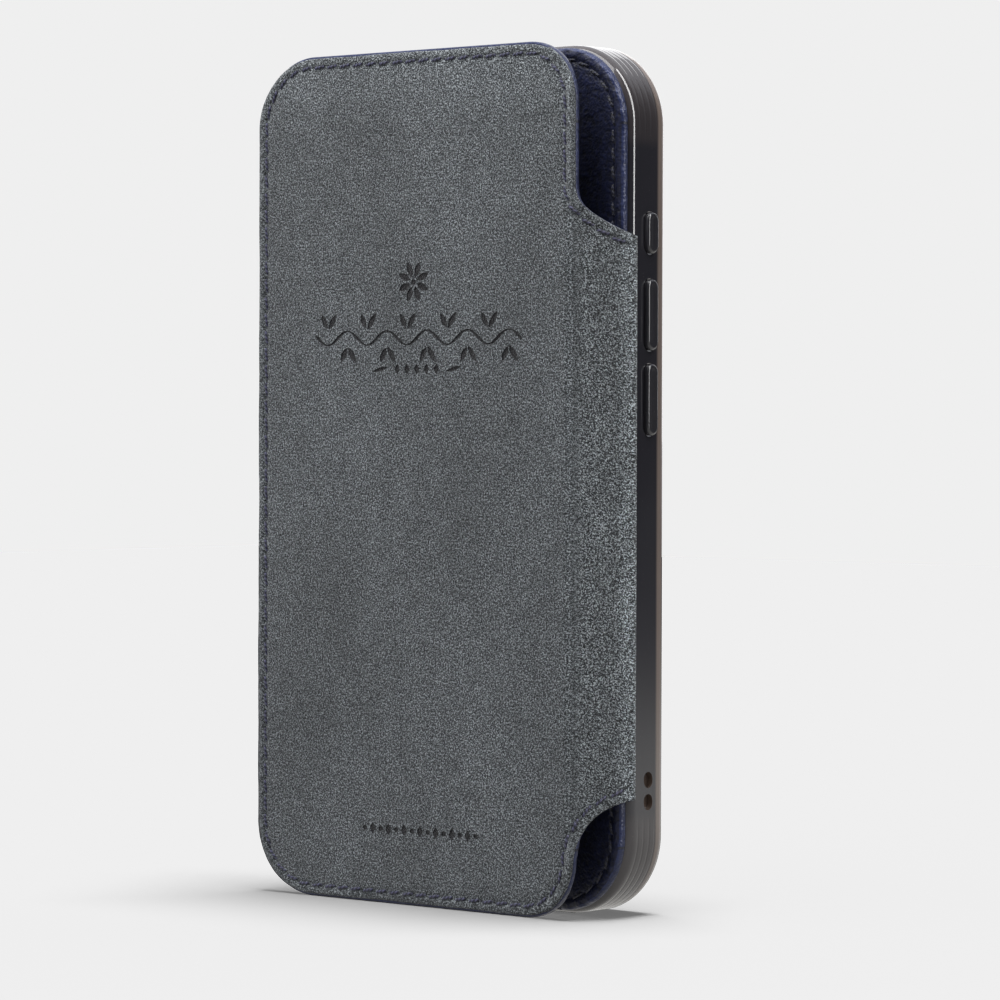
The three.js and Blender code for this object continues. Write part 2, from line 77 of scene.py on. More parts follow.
SHELL_LOW, SHELL_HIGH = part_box("bumper_frame")
ORIGIN = Vector(((SHELL_LOW.x + SHELL_HIGH.x) / 2, SHELL_LOW.y, SHELL_LOW.z))
HALF_WIDTH = (SHELL_HIGH.x - SHELL_LOW.x) / 2 / MM
DEPTH = (SHELL_HIGH.y - SHELL_LOW.y) / MM
HEIGHT = (SHELL_HIGH.z - SHELL_LOW.z) / MM


def world(x, y, z):
    return Vector((ORIGIN.x + x * MM, ORIGIN.y + y * MM, ORIGIN.z + z * MM))


def local(point):
    return [(point[i] - ORIGIN[i]) / MM for i in range(3)]


def node_box(node):
    low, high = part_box(node)
    return local(low), local(high)


JOINTS = {joint["name"]: joint for joint in frame["record"]["behaviour"]["joints"]}
ROOT = local(JOINTS["root_hinge"]["pos_m"])
SPINE_AXIS = local(JOINTS["spine_hinge"]["pos_m"])
FOLD = local(JOINTS["flap_fold"]["pos_m"])

# ---- Sizes

CORNER = 14.0
ROUNDING = 2.0
WALL = 1.5
FLANGE = 3.0
LIP = 1.0
LIP_DEPTH = 0.75
PLATE_DEPTH = 1.2

FLAP_LEFT = node_box("flap_leather")[0][0] - FOLD[0]
TAB = 0.8
FREE_CORNER = 13.0
HINGE_CORNER = 10.5
UPPER_END = [(0.8, 125.0), (0.8, 121.2), (4.6, 119.2), (12.3, 115.9)]
LOWER_END = [(1.2, 12.1), (2.0, 14.6), (3.0, 19.3), (12.3, 20.7)]

LOWER_FADE = (11.5, 16.0)
UPPER_FADE = (119.5, 124.5)

FLAP_LEATHER = 1.6
SPINE_LEATHER = 1.1
BEND_LEATHER = 0.5
SUEDE = 0.6
SUEDE_INSET = 0.18
SEAM_INSET = 2.0
STITCH_PITCH = 3.1
STITCH_LENGTH = 2.75
STITCH_SLANT = 0.16
SEAM_STEP = 0.1
THREAD = 0.26

EDGE_BAND = 0.45
FOLD_RADIUS = 2.4
TURN_RADIUS = 0.661
SPLIT = 9.9
ORNAMENT_MIDDLE = -35.6
ROSETTE_HEIGHT = 109.1
VINE_HEIGHT = 99.4
VINE_WAVE = 9.44
RHOMBI_HEIGHT = 93.9
LOWER_ROW_HEIGHT = 13.1
STAMP_DEPTH = 0.16

# ---- Small helpers


def smooth(low, high, value):
    t = np.clip((np.asarray(value, float) - low) / (high - low), 0.0, 1.0)
    return t * t * (3 - 2 * t)


def bezier(points):
    p = np.array(points, float)
    t = np.linspace(0, 1, 200)[:, None]
    return (1 - t) ** 3 * p[0] + 3 * t * (1 - t) ** 2 * p[1] + 3 * t * t * (1 - t) * p[2] + t ** 3 * p[3]


def arc(centre, radius, start, end, count):
    angles = np.radians(np.linspace(start, end, count))
    return np.stack([centre[0] + radius * np.cos(angles), centre[1] + radius * np.sin(angles)], 1)


def points_at(at, travel, path):
    """The points of a path at some distances along it, from the distances of its own points."""
    return np.stack([np.interp(at, travel, path[:, 0]), np.interp(at, travel, path[:, 1])], 1)


def resample(path, step, closed=False):
    """Points every step or so along a polyline."""
    path = np.array(path, float)
    if closed:
        path = np.vstack([path, path[:1]])
    path = path[np.concatenate([[True], np.hypot(*np.diff(path, axis=0).T) > 1e-7])]
    travel = np.concatenate([[0], np.cumsum(np.hypot(*np.diff(path, axis=0).T))])
    count = max(2, int(round(travel[-1] / step)) + 1)
    out = points_at(np.linspace(0, travel[-1], count), travel, path)
    return out[:-1] if closed else out


def inward(path, distance, closed=False):
    """A polyline that runs anticlockwise, moved to its left by a distance."""
    path = np.array(path, float)
    if closed:
        along = np.roll(path, -1, 0) - np.roll(path, 1, 0)
    else:
        along = np.gradient(path, axis=0)
    along /= np.hypot(*along.T)[:, None]
    return path + distance * np.stack([-along[:, 1], along[:, 0]], 1)


def rect_corners(left, right, low, high, radius):
    """The four corner arcs of a rounded rectangle, anticlockwise: middles and start angles."""
    inner_left, inner_right = left + radius, right - radius
    inner_low, inner_high = low + radius, high - radius
    return [((inner_right, inner_low), -90), ((inner_right, inner_high), 0),
            ((inner_left, inner_high), 90), ((inner_left, inner_low), 180)]


def rounded_rect(left, right, low, high, radius):
    corners = rect_corners(left, right, low, high, radius)
    return np.vstack([arc(middle, radius, start, start + 90, 24) for middle, start in corners])


def shell_outline(inset):
    return rounded_rect(-HALF_WIDTH + inset, HALF_WIDTH - inset, inset, HEIGHT - inset, CORNER - inset)


def distance_to(points, path, closed):
    """Each point's distance to the nearest stretch of a polyline."""
    a = np.array(path, float)
    b = np.roll(a, -1, 0) if closed else a[1:]
    a = a if closed else a[:-1]
    d = b - a
    squared = np.maximum((d * d).sum(1), 1e-12)
    out = np.empty(len(points))
    for i in range(0, len(points), 2000):
        p = points[i : i + 2000, None, :] - a[None]
        t = np.clip((p * d).sum(2) / squared, 0, 1)
        gap = p - t[..., None] * d[None]
        out[i : i + 2000] = np.sqrt((gap * gap).sum(2)).min(1)
    return out


def inside(points, polygon):
    x, y = points[:, 0], points[:, 1]
    hits = np.zeros(len(points), bool)
    a = np.array(polygon, float)
    b = np.roll(a, -1, 0)
    for (x0, y0), (x1, y1) in zip(a, b):
        if y0 == y1:
            continue
        crosses = (y0 > y) != (y1 > y)
        hits ^= crosses & (x < (x1 - x0) * (y - y0) / (y1 - y0) + x0)
    return hits


def add_object(name, data, place=None, turn=None):
    """An object in the scene, with its place and its rotation where they're given."""
    made = bpy.data.objects.new(name, data)
    bpy.context.scene.collection.objects.link(made)
    if place is not None:
        made.location = place
        made.rotation_mode = "QUATERNION"
        made.rotation_quaternion = turn
    return made


def make_object(name, points, faces, materials, flat=None, face_material=None, sharp=40):
    """A mesh piece from points in the case's frame, in millimetres."""
    mesh = bpy.data.meshes.new(name)
    where = np.array(points, float) * MM + np.array(ORIGIN)
    mesh.from_pydata(where.tolist(), [], [list(f) for f in faces])
    store_flat(mesh, points if flat is None else flat)
    for material in materials:
        mesh.materials.append(material)
    if face_material is not None:
        mesh.polygons.foreach_set("material_index", np.array(face_material, np.int32))
    finish_mesh(mesh, sharp)
    return add_object(name, mesh)


def store_flat(mesh, values):
    """The place of each point on the uncut material, in millimetres, which the textures read."""
    attribute = mesh.attributes.get("flat") or mesh.attributes.new("flat", "FLOAT_VECTOR", "POINT")
    attribute.data.foreach_set("vector", np.array(values, np.float32).ravel())


def finish_mesh(mesh, sharp):
    mesh.validate()
    mesh.polygons.foreach_set("use_smooth", [True] * len(mesh.polygons))
    mesh.set_sharp_from_angle(angle=math.radians(sharp))
    mesh.update()


# ---- How the leather runs
# u is the distance along the leather from the fold axis: negative on the flap, positive on the
# spine and round its root on to the back. n is the height above the face that the suede is glued to.

SPINE_HEADING = math.atan2(SPINE_AXIS[1] - FOLD[1], SPINE_AXIS[0] - FOLD[0])
FOLD_REACH = FOLD_RADIUS * math.tan(SPINE_HEADING / 2)
TURN = math.pi - SPINE_HEADING
TURN_START = (
    ROOT[1] - TURN_RADIUS - FOLD[1] - TURN_RADIUS * math.cos(SPINE_HEADING)
) / math.sin(SPINE_HEADING)
TURN_END = TURN_START + TURN * TURN_RADIUS
TURN_MIDDLE = (TURN_START + TURN_END) / 2
TURN_CENTRE = (
    FOLD[0] + TURN_START * math.cos(SPINE_HEADING) - TURN_RADIUS * math.sin(SPINE_HEADING),
    FOLD[1] + TURN_START * math.sin(SPINE_HEADING) + TURN_RADIUS * math.cos(SPINE_HEADING),
)


def on_leather(u, n):
    """X and Y of points at distances u along the leather and heights n above it."""
    u, n = np.broadcast_arrays(np.asarray(u, float), np.asarray(n, float))
    share = np.clip((u + FOLD_REACH) / (2 * FOLD_REACH), 0, 1)
    heading = SPINE_HEADING * share
    heading = heading + TURN * np.clip((u - TURN_START) / (TURN_END - TURN_START), 0, 1)
    flap = np.stack([FOLD[0] + u, np.full_like(u, FOLD[1])])
    fold = np.stack([
        FOLD[0] - FOLD_REACH + FOLD_RADIUS * np.sin(heading),
        FOLD[1] + FOLD_RADIUS - FOLD_RADIUS * np.cos(heading),
    ])
    spine = np.stack([FOLD[0] + u * math.cos(SPINE_HEADING), FOLD[1] + u * math.sin(SPINE_HEADING)])
    turn = np.stack([
        TURN_CENTRE[0] + TURN_RADIUS * np.sin(heading),
        TURN_CENTRE[1] - TURN_RADIUS * np.cos(heading),
    ])
    back = np.stack([TURN_CENTRE[0] - (u - TURN_END), np.full_like(u, ROOT[1])])
    middle = np.select(
        [u < -FOLD_REACH, u < FOLD_REACH, u < TURN_START, u < TURN_END],
        [flap, fold, spine, turn],
        back,
    )
    return middle[0] + n * np.sin(heading), middle[1] - n * np.cos(heading)


def place_on_leather(flat):
    """Past the spine's two ends the flap's tabs stay flat, so the fold fades out there."""
    u, z, n = flat.T
    x, y = on_leather(u, n)
    folded = smooth(*LOWER_FADE, z) * (1 - smooth(*UPPER_FADE, z))
    x = folded * x + (1 - folded) * (FOLD[0] + u)
    y = folded * y + (1 - folded) * (FOLD[1] - n)
    return np.stack([x, y, z], 1)


def place_on_back(flat):
    """The back panel: heights are measured outwards from the back of the plate."""
    return np.stack([flat[:, 0], -flat[:, 2], flat[:, 1]], 1)


# ---- Sheets


class Outline:
    """A sheet's outline, anticlockwise. If it is split, it is cut straight from the free edge's end
    to its start."""

    def __init__(self, free, step, split=False, holes=()):
        free = resample(free, step)
        loop = np.vstack([free, resample([free[-1], free[0]], step)[1:-1]]) if split else free
        self.loop = loop[np.hypot(*(loop - np.roll(loop, 1, 0)).T) > 1e-4]
        self.holes = [resample(hole, step, closed=True)[::-1] for hole in holes]
        # The free edge and the holes, and whether each is closed.
        self.edges = [(free, not split)] + [(hole, True) for hole in self.holes]

    def contains(self, points):
        result = inside(points, self.loop)
        for hole in self.holes:
            result &= ~inside(points, hole)
        return result

    def edge_distance(self, points):
        return np.minimum.reduce([distance_to(points, path, closed) for path, closed in self.edges])


def fill_points(outline, rings, columns, rows, marks):
    """Points inside an outline: rings that follow its edges, then a grid, clear of the marks."""
    found = [inward(path, distance, closed) for distance in rings for path, closed in outline.edges]
    grid = np.stack(np.meshgrid(columns, rows), -1).reshape(-1, 2)
    grid = grid[outline.edge_distance(grid) > rings[-1] + 0.5]
    points = np.vstack(found + [grid])
    points = points[outline.contains(points)]
    wall = distance_to(points, outline.loop, True)
    true = outline.edge_distance(points)
    points = points[(wall > 0.04) & ((wall > 0.25) | (true < wall + 1e-6))]
    for mark in marks:
        points = points[distance_to(points, mark, True) > 0.1]
    return points


def sheet_mesh(outline, low, high, rings, columns, rows, marks):
    """Triangles over an outline with two faces and side walls. low and high give the two faces'
    heights from (points, distance to the edge). Returns flat coordinates, faces, the middles of
    the triangles on one face, and 1 for each face that lies near an edge."""
    loops = [outline.loop] + outline.holes + list(marks)
    extra = fill_points(outline, rings, columns, rows, marks)
    points = np.vstack(loops + [extra])
    edges, start = [], 0
    for loop in loops:
        n = len(loop)
        edges += [(start + i, start + (i + 1) % n) for i in range(n)]
        start += n
    done = delaunay_2d_cdt([Vector(p) for p in points], edges, [], 0, 1e-5, True)
    flat2 = np.array([(v.x, v.y) for v in done[0]])
    triangles = np.array([f[:] for f in done[2]], int)
    triangles = triangles[outline.contains(flat2[triangles].mean(1))]
    where = {old: new for new, olds in enumerate(done[3]) for old in olds}
    count = len(flat2)
    distance = outline.edge_distance(flat2)
    near_edge = (distance[triangles].mean(1) < EDGE_BAND).astype(int)
    flat = np.vstack([np.column_stack([flat2, face(flat2, distance)]) for face in (high, low)])
    a, b, c = flat2[triangles[:, 0]], flat2[triangles[:, 1]], flat2[triangles[:, 2]]
    turn = (b[:, 0] - a[:, 0]) * (c[:, 1] - a[:, 1]) - (b[:, 1] - a[:, 1]) * (c[:, 0] - a[:, 0])
    triangles[turn < 0] = triangles[turn < 0][:, ::-1]
    faces = [tuple(t) for t in triangles]
    faces += [(t[2] + count, t[1] + count, t[0] + count) for t in triangles]
    zones = list(near_edge) * 2
    start = 0
    for loop in loops[: 1 + len(outline.holes)]:
        n = len(loop)
        ring = [where[start + i] for i in range(n)]
        for i in range(n):
            p, q = ring[i], ring[(i + 1) % n]
            if p != q:
                faces.append((q, p, p + count, q + count))
                zones.append(1)
        start += n
    return flat, faces, flat2[triangles].mean(1), np.array(zones)


def drop_at_edge(distance, radius, across=None):
    """How far a rounded edge falls away at a distance from the edge."""
    across = radius if across is None else across
    t = np.clip(1 - np.asarray(distance) / across, 0, 1)
    return radius * (1 - np.sqrt(np.maximum(1 - t * t, 0)))


def groove(distance, middle, half_width, depth):
    return depth * np.exp(-(((distance - middle) / half_width) ** 2))


def needle_holes(points, to_seam, needle, reach, half_width, depth):
    """How deep the needle has drawn the face in at points within reach of a seam."""
    near = to_seam < reach
    found = np.zeros(len(points))
    if near.any():
        gaps = points[near][:, None] - needle
        found[near] = groove(np.hypot(gaps[..., 0], gaps[..., 1]).min(1), 0.0, half_width, depth)
    return found


def level(height):
    """A face at one height all over."""
    return lambda points, distance: np.full(len(points), height)


def sheet_piece(name, outline, low, high, place, materials, rings, columns, rows, marks=(), pick=None):
    flat, faces, centres, zones = sheet_mesh(outline, low, high, rings, columns, rows, marks)
    chosen = zones if len(materials) > 1 else None
    if pick is not None:
        chosen = np.zeros(len(faces), int)
        chosen[: len(centres)] = pick(centres)
    return make_object(name, place(flat), faces, materials, flat, chosen)


# ---- Rows of stitches


def ring_faces(count, size, start=0, closed=False):
    """Faces between rings of points that match. An open run of rings gets both its ends closed."""
    faces = []
    for i in range(count if closed else count - 1):
        a, b = start + i * size, start + (i + 1) % count * size
        for j in range(size):
            k = (j + 1) % size
            faces.append((a + j, a + k, b + k, b + j))
    if not closed:
        faces.append(tuple(start + j for j in reversed(range(size))))
        faces.append(tuple(start + (count - 1) * size + j for j in range(size)))
    return faces


def seam_travel(path):
    """A seam as close points with their distances along it, and how many stitches it takes."""
    dense = resample(path, SEAM_STEP)
    travel = np.arange(len(dense)) * SEAM_STEP
    return dense, travel, max(1, int(round(travel[-1] / STITCH_PITCH)))


def seam_points(path):
    """Where the needle went through along a seam."""
    dense, travel, count = seam_travel(path)
    return points_at(np.arange(count + 1) * travel[-1] / count, travel, dense)


def stitch_row(name, path, face, place, material, side=1):
    """Separate stitches along a path in flat coordinates. face is the height of the face they are
    sewn through, and side says which way is out of it."""
    points, flats, faces = [], [], []
    bend = np.linspace(-1, 1, 9)
    turns = np.linspace(0, 2 * math.pi, 9)[:-1]
    dense, travel, count = seam_travel(path)
    for i in range(count):
        middle = (i + 0.5) * travel[-1] / count
        at = middle + bend * STITCH_LENGTH / 2
        u, z = points_at(at, travel, dense).T
        along = np.array([u[-1] - u[0], z[-1] - z[0]])
        along /= max(np.hypot(*along), 1e-6)
        across = np.array([-along[1], along[0]])
        u = u + across[0] * STITCH_SLANT * bend * STITCH_LENGTH / 2
        z = z + across[1] * STITCH_SLANT * bend * STITCH_LENGTH / 2
        height = face(u, z) + side * (THREAD * 0.55 - (THREAD * 1.9) * np.abs(bend) ** 5)
        width = THREAD * (1 - 0.28 * np.abs(bend) ** 3)
        faces += ring_faces(len(bend), len(turns), len(flats))
        for k in range(len(bend)):
            for turn in turns:
                reach = width[k] * (1 + 0.10 * math.sin(2 * turn + 5.0 * bend[k]))
                flats.append((
                    u[k] + across[0] * reach * math.cos(turn),
                    z[k] + across[1] * reach * math.cos(turn),
                    height[k] + reach * 0.85 * math.sin(turn),
                ))
                points.append((at[k] + i * 0.37, turn, middle))
    return make_object(name, place(np.array(flats)), faces, [material], np.array(points), sharp=80)


# ---- Materials


def srgb(*values):
    linear = [v / 255 / 12.92 if v <= 10 else ((v / 255 + 0.055) / 1.055) ** 2.4 for v in values]
    return (*linear, 1.0)


class Graph:
    """A short way to write the nodes of a material, or of the world."""

    def __init__(self, owner, coordinates="flat"):
        self.material = bpy.data.materials.new(owner) if isinstance(owner, str) else owner
        self.material.use_nodes = True
        self.nodes = self.material.node_tree.nodes
        self.links = self.material.node_tree.links
        self.shader = self.nodes.get("Principled BSDF")
        if coordinates == "world":
            self.where = self.add("TexCoord", {}, "Generated")
        elif coordinates == "flat":
            self.where = self.add("Attribute", {}, "Vector", attribute_name="flat")
        else:
            place = self.add("TexCoord", {}, "Object")
            self.where = self.add("VectorMath", {0: place, "Scale": 1 / MM}, operation="SCALE")

    def feed(self, socket, value):
        """Sets a socket to a constant, or links another node's output to it."""
        if isinstance(value, bpy.types.NodeSocket):
            self.links.new(value, socket)
        elif value is not None:
            socket.default_value = value

    def add(self, kind, inputs, output=0, **options):
        node = self.nodes.new("ShaderNode" + kind)
        for name, value in options.items():
            setattr(node, name, value)
        for name, value in inputs.items():
            self.feed(node.inputs[name], value)
        return node.outputs[output]

    def stretched(self, scale):
        return self.add("Mapping", {"Scale": scale, "Vector": self.where})

    def noise(self, scale, detail, rough, where=None, distortion=0.0):
        return self.add("TexNoise", {"Scale": scale, "Detail": detail, "Roughness": rough,
                                     "Distortion": distortion, "Vector": where or self.where})

    def cells(self, scale, feature="F1", where=None, randomness=1.0):
        return self.add("TexVoronoi", {"Randomness": randomness, "Scale": scale,
                                       "Vector": where or self.where}, "Distance", feature=feature)

    def ramp(self, value, stops, ease=False):
        node = self.nodes.new("ShaderNodeValToRGB")
        node.color_ramp.interpolation = "EASE" if ease else "LINEAR"
        elements = node.color_ramp.elements
        while len(elements) < len(stops):
            elements.new(0.5)
        for element, (position, colour) in zip(elements, stops):
            element.position = position
            element.color = colour if isinstance(colour, tuple) else (colour, colour, colour, 1)
        self.links.new(value, node.inputs[0])
        return node.outputs["Color"]

    def maths(self, operation, a, b=None):
        return self.add("Math", {0: a, 1: b}, operation=operation)

    def sum(self, a, share_a, b, share_b):
        return self.maths("ADD", self.maths("MULTIPLY", a, share_a), self.maths("MULTIPLY", b, share_b))

    def mix(self, factor, a, b, kind="MIX"):
        return self.add("Mix", {0: factor, 6: a, 7: b}, 2, data_type="RGBA", blend_type=kind)

    def shaded(self, colour, value, stops, ease=False):
        """A colour multiplied by a ramp over a value."""
        return self.mix(1.0, colour, self.ramp(value, stops, ease), "MULTIPLY")

    def split(self):
        node = self.nodes.new("ShaderNodeSeparateXYZ")
        self.links.new(self.where, node.inputs[0])
        return node.outputs

    def bump(self, height, strength, distance):
        return self.add("Bump", {"Strength": strength, "Distance": distance, "Height": height})

    def done(self, colour, normal, rough, **sockets):
        self.feed(self.shader.inputs["Base Color"], colour)
        self.feed(self.shader.inputs["Normal"], normal)
        self.feed(self.shader.inputs["Roughness"], rough)
        for name, value in sockets.items():
            self.shader.inputs[name.replace("_", " ")].default_value = value
        return self.material


# Painted light over the bends: a painted highlight over the fold with painted shade just past it, and a
# painted highlight that grows towards the root bend.
PAINTED_BEND_LIGHT_STOPS = [(0.09, 1.0), (0.135, 1.25), (0.17, 0.84), (0.24, 1.0),
                (0.60, 1.0), (0.70, 1.06), (0.76, 1.27), (0.81, 1.62)]


def suede_material(name, flap_tones, spine_tones):
    """Brushed nap: crisp dark pits between light fibre tips, cloudy patches where the nap lies
    another way, and a coarser nap on the spine. Painted light: the spine's tones are lighter where
    it faces the light, painted highlights run over both bends with painted shade just past the
    fold, the flap is painted darker towards its free edge, and a painted highlight runs along the top."""
    g = Graph(name)
    parts = g.split()
    across = g.maths("DIVIDE", g.maths("ADD", parts[0], 2.0), 14.0)
    spine = g.ramp(across, [(0.11, 0.0), (0.32, 1.0)], ease=True)
    fibres = g.noise(7.0, 1.0, 0.6)
    fine = g.sum(g.noise(3.4, 1.0, 0.6, distortion=0.4), 0.6, fibres, 0.4)
    coarse = g.sum(g.noise(3.7, 1.0, 0.6, distortion=0.4), 0.6, fibres, 0.4)
    flat_shade = g.ramp(fine, list(zip((0.37, 0.5, 0.63), flap_tones)))
    open_shade = g.ramp(coarse, list(zip((0.38, 0.5, 0.62), spine_tones)))
    colour = g.mix(spine, flat_shade, open_shade)
    clouds = g.noise(0.045, 2.0, 0.5, where=g.stretched((1.0, 0.45, 1.0)))
    colour = g.shaded(colour, clouds, [(0.3, 0.80), (0.7, 1.14)])
    colour = g.shaded(colour, g.noise(0.28, 2.0, 0.6), [(0.3, 0.84), (0.7, 1.14)])
    colour = g.shaded(colour, across, PAINTED_BEND_LIGHT_STOPS, ease=True)
    # Painted shade: the flap darker towards its free edge and lighter towards the fold.
    reach = g.maths("DIVIDE", g.maths("ADD", parts[0], 74.0), 74.0)
    colour = g.shaded(colour, reach, [(0.0, 0.93), (1.0, 1.04)])
    # Painted highlight: the flap and the spine lighter near the top, where the light from above falls.
    climb = g.maths("DIVIDE", parts[1], HEIGHT)
    colour = g.shaded(colour, climb, [(0.905, 0.98), (0.965, 1.27)], ease=True)
    height = g.maths("ADD", fine, g.maths("MULTIPLY", g.maths("MULTIPLY", coarse, spine), 1.2))
    return g.done(colour, g.bump(height, 0.8, 0.0006), 0.93, Sheen_Weight=0.4, Sheen_Roughness=0.35)


def leather_material(name, tones, rough=(0.42, 0.62), joints=()):
    """Fine pebbled grain; joints are the heights where a turned edge overlaps the next one."""
    g = Graph(name)
    wrinkles = g.noise(0.55, 4.0, 0.6)
    grain = g.sum(g.cells(1.15, "SMOOTH_F1"), 0.5, g.cells(2.3), 0.35)
    height = g.maths("ADD", grain, g.maths("MULTIPLY", wrinkles, 0.6))
    colour = g.ramp(height, list(zip((0.25, 0.55, 0.95), tones)))
    colour = g.shaded(colour, g.noise(0.06, 2.0, 0.5), [(0.3, 0.86), (0.72, 1.12)])
    for at in joints:
        away = g.maths("ABSOLUTE", g.maths("SUBTRACT", g.split()[1], at))
        colour = g.shaded(colour, away, [(0.0, 0.2), (0.16, 0.25), (0.34, 1.0)], ease=True)
    gloss = g.ramp(wrinkles, [(0.3, rough[0]), (0.7, rough[1])])
    return g.done(colour, g.bump(height, 0.6, 0.00036), gloss,
                  Sheen_Weight=0.08, Sheen_Roughness=0.5, Specular_IOR_Level=0.36)


def thread_material(name, dark, light):
    g = Graph(name)
    parts = g.split()
    twist = g.maths("SINE", g.maths("ADD", g.maths("MULTIPLY", parts[0], 7.5), parts[1]))
    height = g.maths("ADD", g.maths("MULTIPLY", twist, 0.4), g.noise(6.0, 2.0, 0.6))
    colour = g.ramp(height, [(0.2, dark), (1.0, light)], ease=True)
    return g.done(colour, g.bump(height, 0.7, 0.00012), 0.42, Sheen_Weight=0.2, Sheen_Roughness=0.3)


# Painted glow: where the lip and the solid corners take the glow colour, standing in for light that comes
# through the plastic there.
LIP_GLOW_STOPS = [(0.0, 0.0), (0.70, 0.0), (0.77, 1.0), (0.93, 1.0), (0.99, 0.3)]
CORNER_GLOW_STOPS = [(0.0, 0.0), (0.380, 0.0), (0.392, 0.1), (0.5, 0.2)]


def smoke_material(name, tint, glow, rough, transmission):
    """Smoke-tinted soft plastic: fine flow marks and specks, and a painted brown glow in the lip and
    the solid corners, standing in for the light that comes through them there."""
    g = Graph(name)
    parts = g.split()
    # Painted glow in the lip and the corners, mixed over the smoke tint.
    lip = g.ramp(g.maths("DIVIDE", parts[1], DEPTH), LIP_GLOW_STOPS, ease=True)
    from_middle = g.maths("ABSOLUTE", g.maths("SUBTRACT", g.maths("DIVIDE", parts[2], HEIGHT), 0.5))
    colour = g.mix(g.maths("MAXIMUM", lip, g.ramp(from_middle, CORNER_GLOW_STOPS)), tint, glow)
    flow = g.noise(0.05, 3.0, 0.55, where=g.stretched((1.0, 0.6, 0.25)))
    colour = g.shaded(colour, flow, [(0.3, 0.85), (0.7, 1.15)])
    specks = g.ramp(g.noise(3.2, 1.0, 0.5), [(0.70, 0.0), (0.78, 1.0)], ease=True)
    colour = g.mix(g.maths("MULTIPLY", specks, 0.06), colour, (0.5, 0.48, 0.46, 1))
    haze = g.noise(0.9, 3.0, 0.6)
    gloss = g.ramp(haze, [(0.3, rough), (0.75, rough + 0.05)])
    return g.done(colour, g.bump(haze, 0.1, 0.00004), gloss,
                  Transmission_Weight=transmission, IOR=1.5, Coat_Weight=0.3, Coat_Roughness=0.04)


def plate_material(name):
    """Clear smoke plate with a grid of tiny moulded dots that stop it sticking to the glass."""
    g = Graph(name)
    dots = g.cells(0.8, where=g.stretched((1.0, 1.0, 0.001)), randomness=0.0)
    dot = g.ramp(dots, [(0.16, 1.0), (0.24, 0.0)], ease=True)
    haze = g.noise(0.25, 3.0, 0.6)
    colour = g.mix(g.maths("MULTIPLY", dot, 0.25), srgb(70, 66, 66), srgb(120, 116, 114))
    colour = g.shaded(colour, haze, [(0.3, 0.85), (0.7, 1.12)])
    gloss = g.ramp(haze, [(0.3, 0.12), (0.75, 0.24)])
    return g.done(colour, g.bump(dot, 0.5, 0.00008), gloss, Transmission_Weight=0.35, IOR=1.5)


def board_material(name):
    g = Graph(name, "object")
    fibre = g.noise(1.6, 5.0, 0.7, where=g.stretched((0.4, 1.0, 1.4)))
    blotch = g.maths("MULTIPLY", g.noise(0.12, 2.0, 0.5), 0.3)
    colour = g.ramp(fibre, [(0.3, srgb(132, 122, 108)), (0.7, srgb(176, 166, 150))], ease=True)
    colour = g.mix(blotch, colour, srgb(110, 100, 88))
    return g.done(colour, g.bump(fibre, 0.4, 0.00015), 0.88)


def magnet_material(name):
    g = Graph(name, "object")
    brushed = g.noise(1.2, 4.0, 0.6, where=g.stretched((0.3, 3.0, 6.0)))
    colour = g.ramp(brushed, [(0.3, srgb(150, 151, 153)), (0.7, srgb(196, 197, 199))], ease=True)
    gloss = g.ramp(brushed, [(0.3, 0.22), (0.7, 0.4)], ease=True)
    return g.done(colour, g.bump(brushed, 0.2, 0.00004), gloss, Metallic=1.0)


EDGE_JOINTS = (12.2, 135.6)
FLAP_TONES = (srgb(4, 6, 7), srgb(65, 69, 72), srgb(173, 179, 182))
# The spine's tones are lighter than the flap's: painted light, where the spine faces the light. Its coarser
# nap is its own.
SPINE_TONES = (srgb(1, 2, 3), srgb(72, 77, 80), srgb(216, 224, 228))
STAMP_TONES = (srgb(9, 9, 10), srgb(27, 26, 29), srgb(54, 52, 56))
SUEDE_LOOK = suede_material("grey_suede", FLAP_TONES, SPINE_TONES)
STAMP_LOOK = suede_material("stamped_suede", STAMP_TONES, STAMP_TONES)
NAVY_LOOK = leather_material("navy_leather", (srgb(4, 7, 21), srgb(8, 12, 34), srgb(20, 28, 66)))
# Lighter navy on the edges and the faces next to them: partly the turned edges' own smoother finish, partly
# a painted highlight where the rolled edges turn towards the light.
EDGE_LOOK = leather_material(
    "navy_edge", (srgb(20, 27, 58), srgb(32, 41, 78), srgb(52, 62, 104)), (0.3, 0.45), EDGE_JOINTS,
)
THREAD_LOOK = thread_material("navy_thread", srgb(24, 24, 44), srgb(94, 94, 124))
# The same navy thread in darker tones for the back panel's seams: painted shade, as those seams lie in the
# shade behind the flap.
SHADED_THREAD_LOOK = thread_material("dark_navy_thread", srgb(12, 12, 20), srgb(50, 52, 74))
SMOKE_LOOK = smoke_material("smoke_plastic", srgb(55, 54, 60), srgb(148, 133, 124), 0.07, 0.06)
PAD_LOOK = smoke_material("pad_plastic", srgb(52, 51, 56), srgb(80, 72, 68), 0.2, 0.05)
HOLE_LOOK = smoke_material("hole_plastic", srgb(104, 88, 78), srgb(104, 88, 78), 0.3, 0.06)
PLATE_LOOK = plate_material("smoke_plate")
BOARD_LOOK = board_material("fibre_board")
MAGNET_LOOK = magnet_material("nickel_magnet")

# ---- Shell: the soft frame

